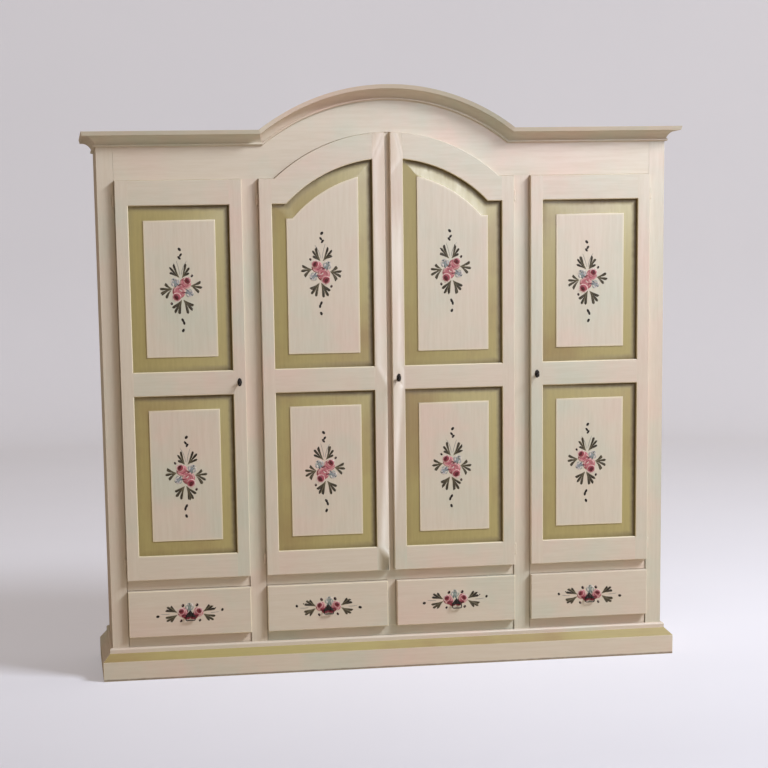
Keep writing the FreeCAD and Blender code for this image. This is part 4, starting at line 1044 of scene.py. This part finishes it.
def spray_places(door, shift):
    """Middle of each panel's spray, upper panel first. An arched panel has it below its middle."""
    places = []
    for triangles in solids_of(door + "_panels"):
        low, high = box_of(triangles)
        rise = min((high.z - low.z) / 2, settings("sprays").rise)
        places.append(Vector(((low.x + high.x) / 2 + shift, 0, low.z + rise)))
    return sorted(places, key=lambda place: -place.z)


# Studio
def studio_camera():
    """A camera at the place and with the view of the photograph."""
    studio = settings("studio")
    data = bpy.data.cameras.new("photo_view")
    data.sensor_width = 36.0
    data.lens = studio.lens
    data.shift_x, data.shift_y = studio.shift
    data.clip_end = 60.0
    camera = linked("photo_view", data)
    turned = (Matrix.Rotation(-studio.yaw, 4, "Z") @ Matrix.Rotation(math.pi / 2 - studio.pitch, 4, "X")
              @ Matrix.Rotation(studio.roll, 4, "Z"))
    camera.matrix_world = Matrix.Translation(studio.place) @ turned
    bpy.context.scene.camera = camera


def studio_light(name, place, aim, size, power):
    """A soft light that looks at a point."""
    data = bpy.data.lights.new(name, "AREA")
    data.shape = "RECTANGLE"
    data.size, data.size_y = size
    data.energy = power
    data.color = settings("studio").key_tint
    light = linked(name, data)
    light.location = place
    light.rotation_euler = (Vector(aim) - Vector(place)).to_track_quat("-Z", "Y").to_euler()
    return light


def studio_bowl():
    """A round floor whose rim sweeps up to a wall on all sides."""
    flat, bend, top, turns = 8.6, 1.6, 7.0, 96
    profile = [(flat * step / 6, 0.0) for step in range(1, 7)]
    profile += [(flat + bend * math.sin(turn), bend - bend * math.cos(turn))
                for turn in (math.radians(7.5 * step) for step in range(1, 13))]
    profile += [(flat + bend, top)]
    spokes = [math.tau * step / turns for step in range(turns)]
    points = [(0.0, 0.0, 0.0)] + [(radius * math.cos(spoke), radius * math.sin(spoke), height)
                                  for radius, height in profile for spoke in spokes]
    faces = []
    for step in range(turns):
        here, after = 1 + step, 1 + (step + 1) % turns
        faces.append((0, here, after))
        faces += [(here + ring, here + ring + turns, after + ring + turns, after + ring)
                  for ring in range(0, turns * (len(profile) - 1), turns)]
    mesh = bpy.data.meshes.new("studio_bowl")
    mesh.from_pydata(points, [], faces)
    mesh.shade_smooth()
    mesh.materials.append(material(studio_paper))
    linked("studio_bowl", mesh)


def studio_air():
    """Even light from all sides."""
    world = bpy.data.worlds.new("studio_air")
    world.use_nodes = True
    give(world.node_tree.nodes["Background"], {0: rgba(settings("studio").air), 1: settings("studio").sky})
    bpy.context.scene.world = world


# Operators
class WardrobeStage(bpy.types.Operator):
    """Makes the camera, the lights, the floor and the backdrop"""

    bl_idname = "wardrobe.stage"
    bl_label = "Studio"

    def execute(self, context):
        studio = settings("studio")
        studio_camera()
        studio_bowl()
        studio_air()
        studio_light("key_light", (5.7, -4.2, 6.9), (0.0, -0.2, 1.1), (3.4, 1.5), studio.key_power)
        sheen = studio_light("sheen_light", (3.1, -5.9, 4.0), (0.6, -0.2, 1.6), (3.2, 2.4), studio.sheen_power)
        sheen.visible_diffuse = False
        return {"FINISHED"}


class WardrobeCarcass(bpy.types.Operator):
    """Finishes the painted boards of the carcass"""

    bl_idname = "wardrobe.carcass"
    bl_label = "Painted carcass"

    def execute(self, context):
        rounding = settings("paint").joint_rounding
        for node in ("face_stiles", "centre_posts", "face_rails", "arched_frieze"):
            finished_piece(node, rounding, front_paint)
        finished_piece("side_panels", rounding, side_panel_paint)
        return {"FINISHED"}


class WardrobeMouldings(bpy.types.Operator):
    """Finishes the cornice and the plinth"""

    bl_idname = "wardrobe.mouldings"
    bl_label = "Mouldings"

    def execute(self, context):
        rounding = settings("paint").joint_rounding
        finished_piece("cornice_lengths", rounding)
        finished_piece("cornice_arch", rounding)
        finished_piece("plinth_boards", plinth_board_width, front_paint)
        finished_piece("plinth_caps", rounding, plinth_cap_paint)
        return {"FINISHED"}


class WardrobeDoors(bpy.types.Operator):
    """Finishes the frames and panels of the doors"""

    bl_idname = "wardrobe.doors"
    bl_label = "Doors"

    def execute(self, context):
        for door in DOORS:
            finished_piece(door + "_frame", door_frame_width(door), door_frame_paint(door), rail_heights(door))
            finished_piece(door + "_panels", panel_width, panel_paint(door), rim=settings("paint").rim_width)
        return {"FINISHED"}


class WardrobeDrawers(bpy.types.Operator):
    """Finishes the fronts and boxes of the drawers"""

    bl_idname = "wardrobe.drawers"
    bl_label = "Drawers"

    def execute(self, context):
        for drawer in DRAWERS:
            finished_piece(drawer + "_front", settings("paint").edge_rounding, front_paint)
            finished_piece(drawer + "_box", settings("wood").rounding, materials=(waxed_softwood,) * 2)
        return {"FINISHED"}


class WardrobeInside(bpy.types.Operator):
    """Finishes the bare boards and fittings of the inside and the back"""

    bl_idname = "wardrobe.inside"
    bl_label = "Bare wood"

    def execute(self, context):
        for node in ("partitions", "back_boards", "top_boards", "floor_panels", "door_stops", "hat_shelves",
                     "hanging_rails", "rail_sockets", "drawer_runners"):
            finished_piece(node, settings("wood").rounding, materials=(waxed_softwood,) * 2)
        return {"FINISHED"}


class WardrobeIronwork(bpy.types.Operator):
    """Finishes the hinges, locks, keys, bolts and pulls"""

    bl_idname = "wardrobe.ironwork"
    bl_label = "Ironwork"

    def execute(self, context):
        hinges = ["hinge_pins"] + [door + "_hinges" for door in DOORS]
        iron = ["strike_plates"] + [drawer + piece for piece in ("_pull_plate", "_pull_bail") for drawer in DRAWERS]
        steel = ["door_2_bolt_guides", "door_2_upper_bolt", "door_2_lower_bolt"]
        for door in ("door_1", "door_3", "door_4"):
            iron += [door + "_lock", door + "_key"]
            steel.append(door + "_lock_bolt")
        for nodes, materials in ((hinges, (cream_paint_brushed, burnished_iron)), (iron, (burnished_iron,) * 2),
                                 (steel, (dull_steel,) * 2)):
            for node in nodes:
                finished_piece(node, settings("iron").rounding, materials=materials)
        return {"FINISHED"}


class WardrobeSpraysOperator(bpy.types.Operator):
    """Paints the rose sprays on the panels and the drawers"""

    bl_idname = "wardrobe.sprays"
    bl_label = "Rose sprays"

    def execute(self, context):
        seed = settings("sprays").seed
        for number, door in enumerate(DOORS, 1):
            brush = Brush(seed + number)
            hand = -1 if number == 2 else 1
            for middle in spray_places(door, DOOR_SPRAY_SHIFTS[number - 1]):
                brush.start(middle, hand)
                paint_panel_spray(brush)
                hand = -hand
            brush.piece(door + "_sprays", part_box(door + "_panels")[0].y, door + "_panels")
        for number, drawer in enumerate(DRAWERS, 1):
            brush = Brush(seed + 10 + number)
            low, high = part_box(drawer + "_front")
            aside, above = DRAWER_SPRAY_SHIFTS[number - 1]
            middle = Vector(((low.x + high.x) / 2 + aside, 0, (low.z + high.z) / 2 + above))
            brush.start(middle, 1 if number % 2 else -1)
            paint_drawer_spray(brush)
            brush.piece(drawer + "_spray", low.y, drawer + "_front")
        return {"FINISHED"}


OPERATORS = (WardrobeStage, WardrobeCarcass, WardrobeMouldings, WardrobeDoors, WardrobeDrawers,
             WardrobeInside, WardrobeIronwork, WardrobeSpraysOperator)


class WardrobePanel(bpy.types.Panel):
    """The wardrobe's tab in the sidebar."""

    bl_idname = "VIEW3D_PT_wardrobe"
    bl_label = "Wardrobe"
    bl_space_type = "VIEW_3D"
    bl_region_type = "UI"
    bl_category = "Wardrobe"

    def draw(self, context):
        for kind in OPERATORS:
            self.layout.operator(kind.bl_idname)
        for name, kind in SETTINGS.items():
            box = self.layout.box()
            for setting in kind.__annotations__:
                box.prop(settings(name), setting)


def register():
    for kind in (*SETTINGS.values(), *OPERATORS, WardrobePanel):
        bpy.utils.register_class(kind)
    for name, kind in SETTINGS.items():
        setattr(bpy.types.Scene, "wardrobe_" + name, PointerProperty(type=kind))


def unregister():
    for name in SETTINGS:
        delattr(bpy.types.Scene, "wardrobe_" + name)
    for kind in (WardrobePanel, *reversed(OPERATORS), *reversed(SETTINGS.values())):
        bpy.utils.unregister_class(kind)


def main():
    register()
    bpy.ops.wardrobe.stage()
    bpy.ops.wardrobe.carcass()
    bpy.ops.wardrobe.mouldings()
    bpy.ops.wardrobe.doors()
    bpy.ops.wardrobe.drawers()
    bpy.ops.wardrobe.inside()
    bpy.ops.wardrobe.ironwork()
    bpy.ops.wardrobe.sprays()
    bpy.context.scene.view_settings.view_transform = "Standard"
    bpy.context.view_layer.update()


if __name__ == "__main__":
    main()
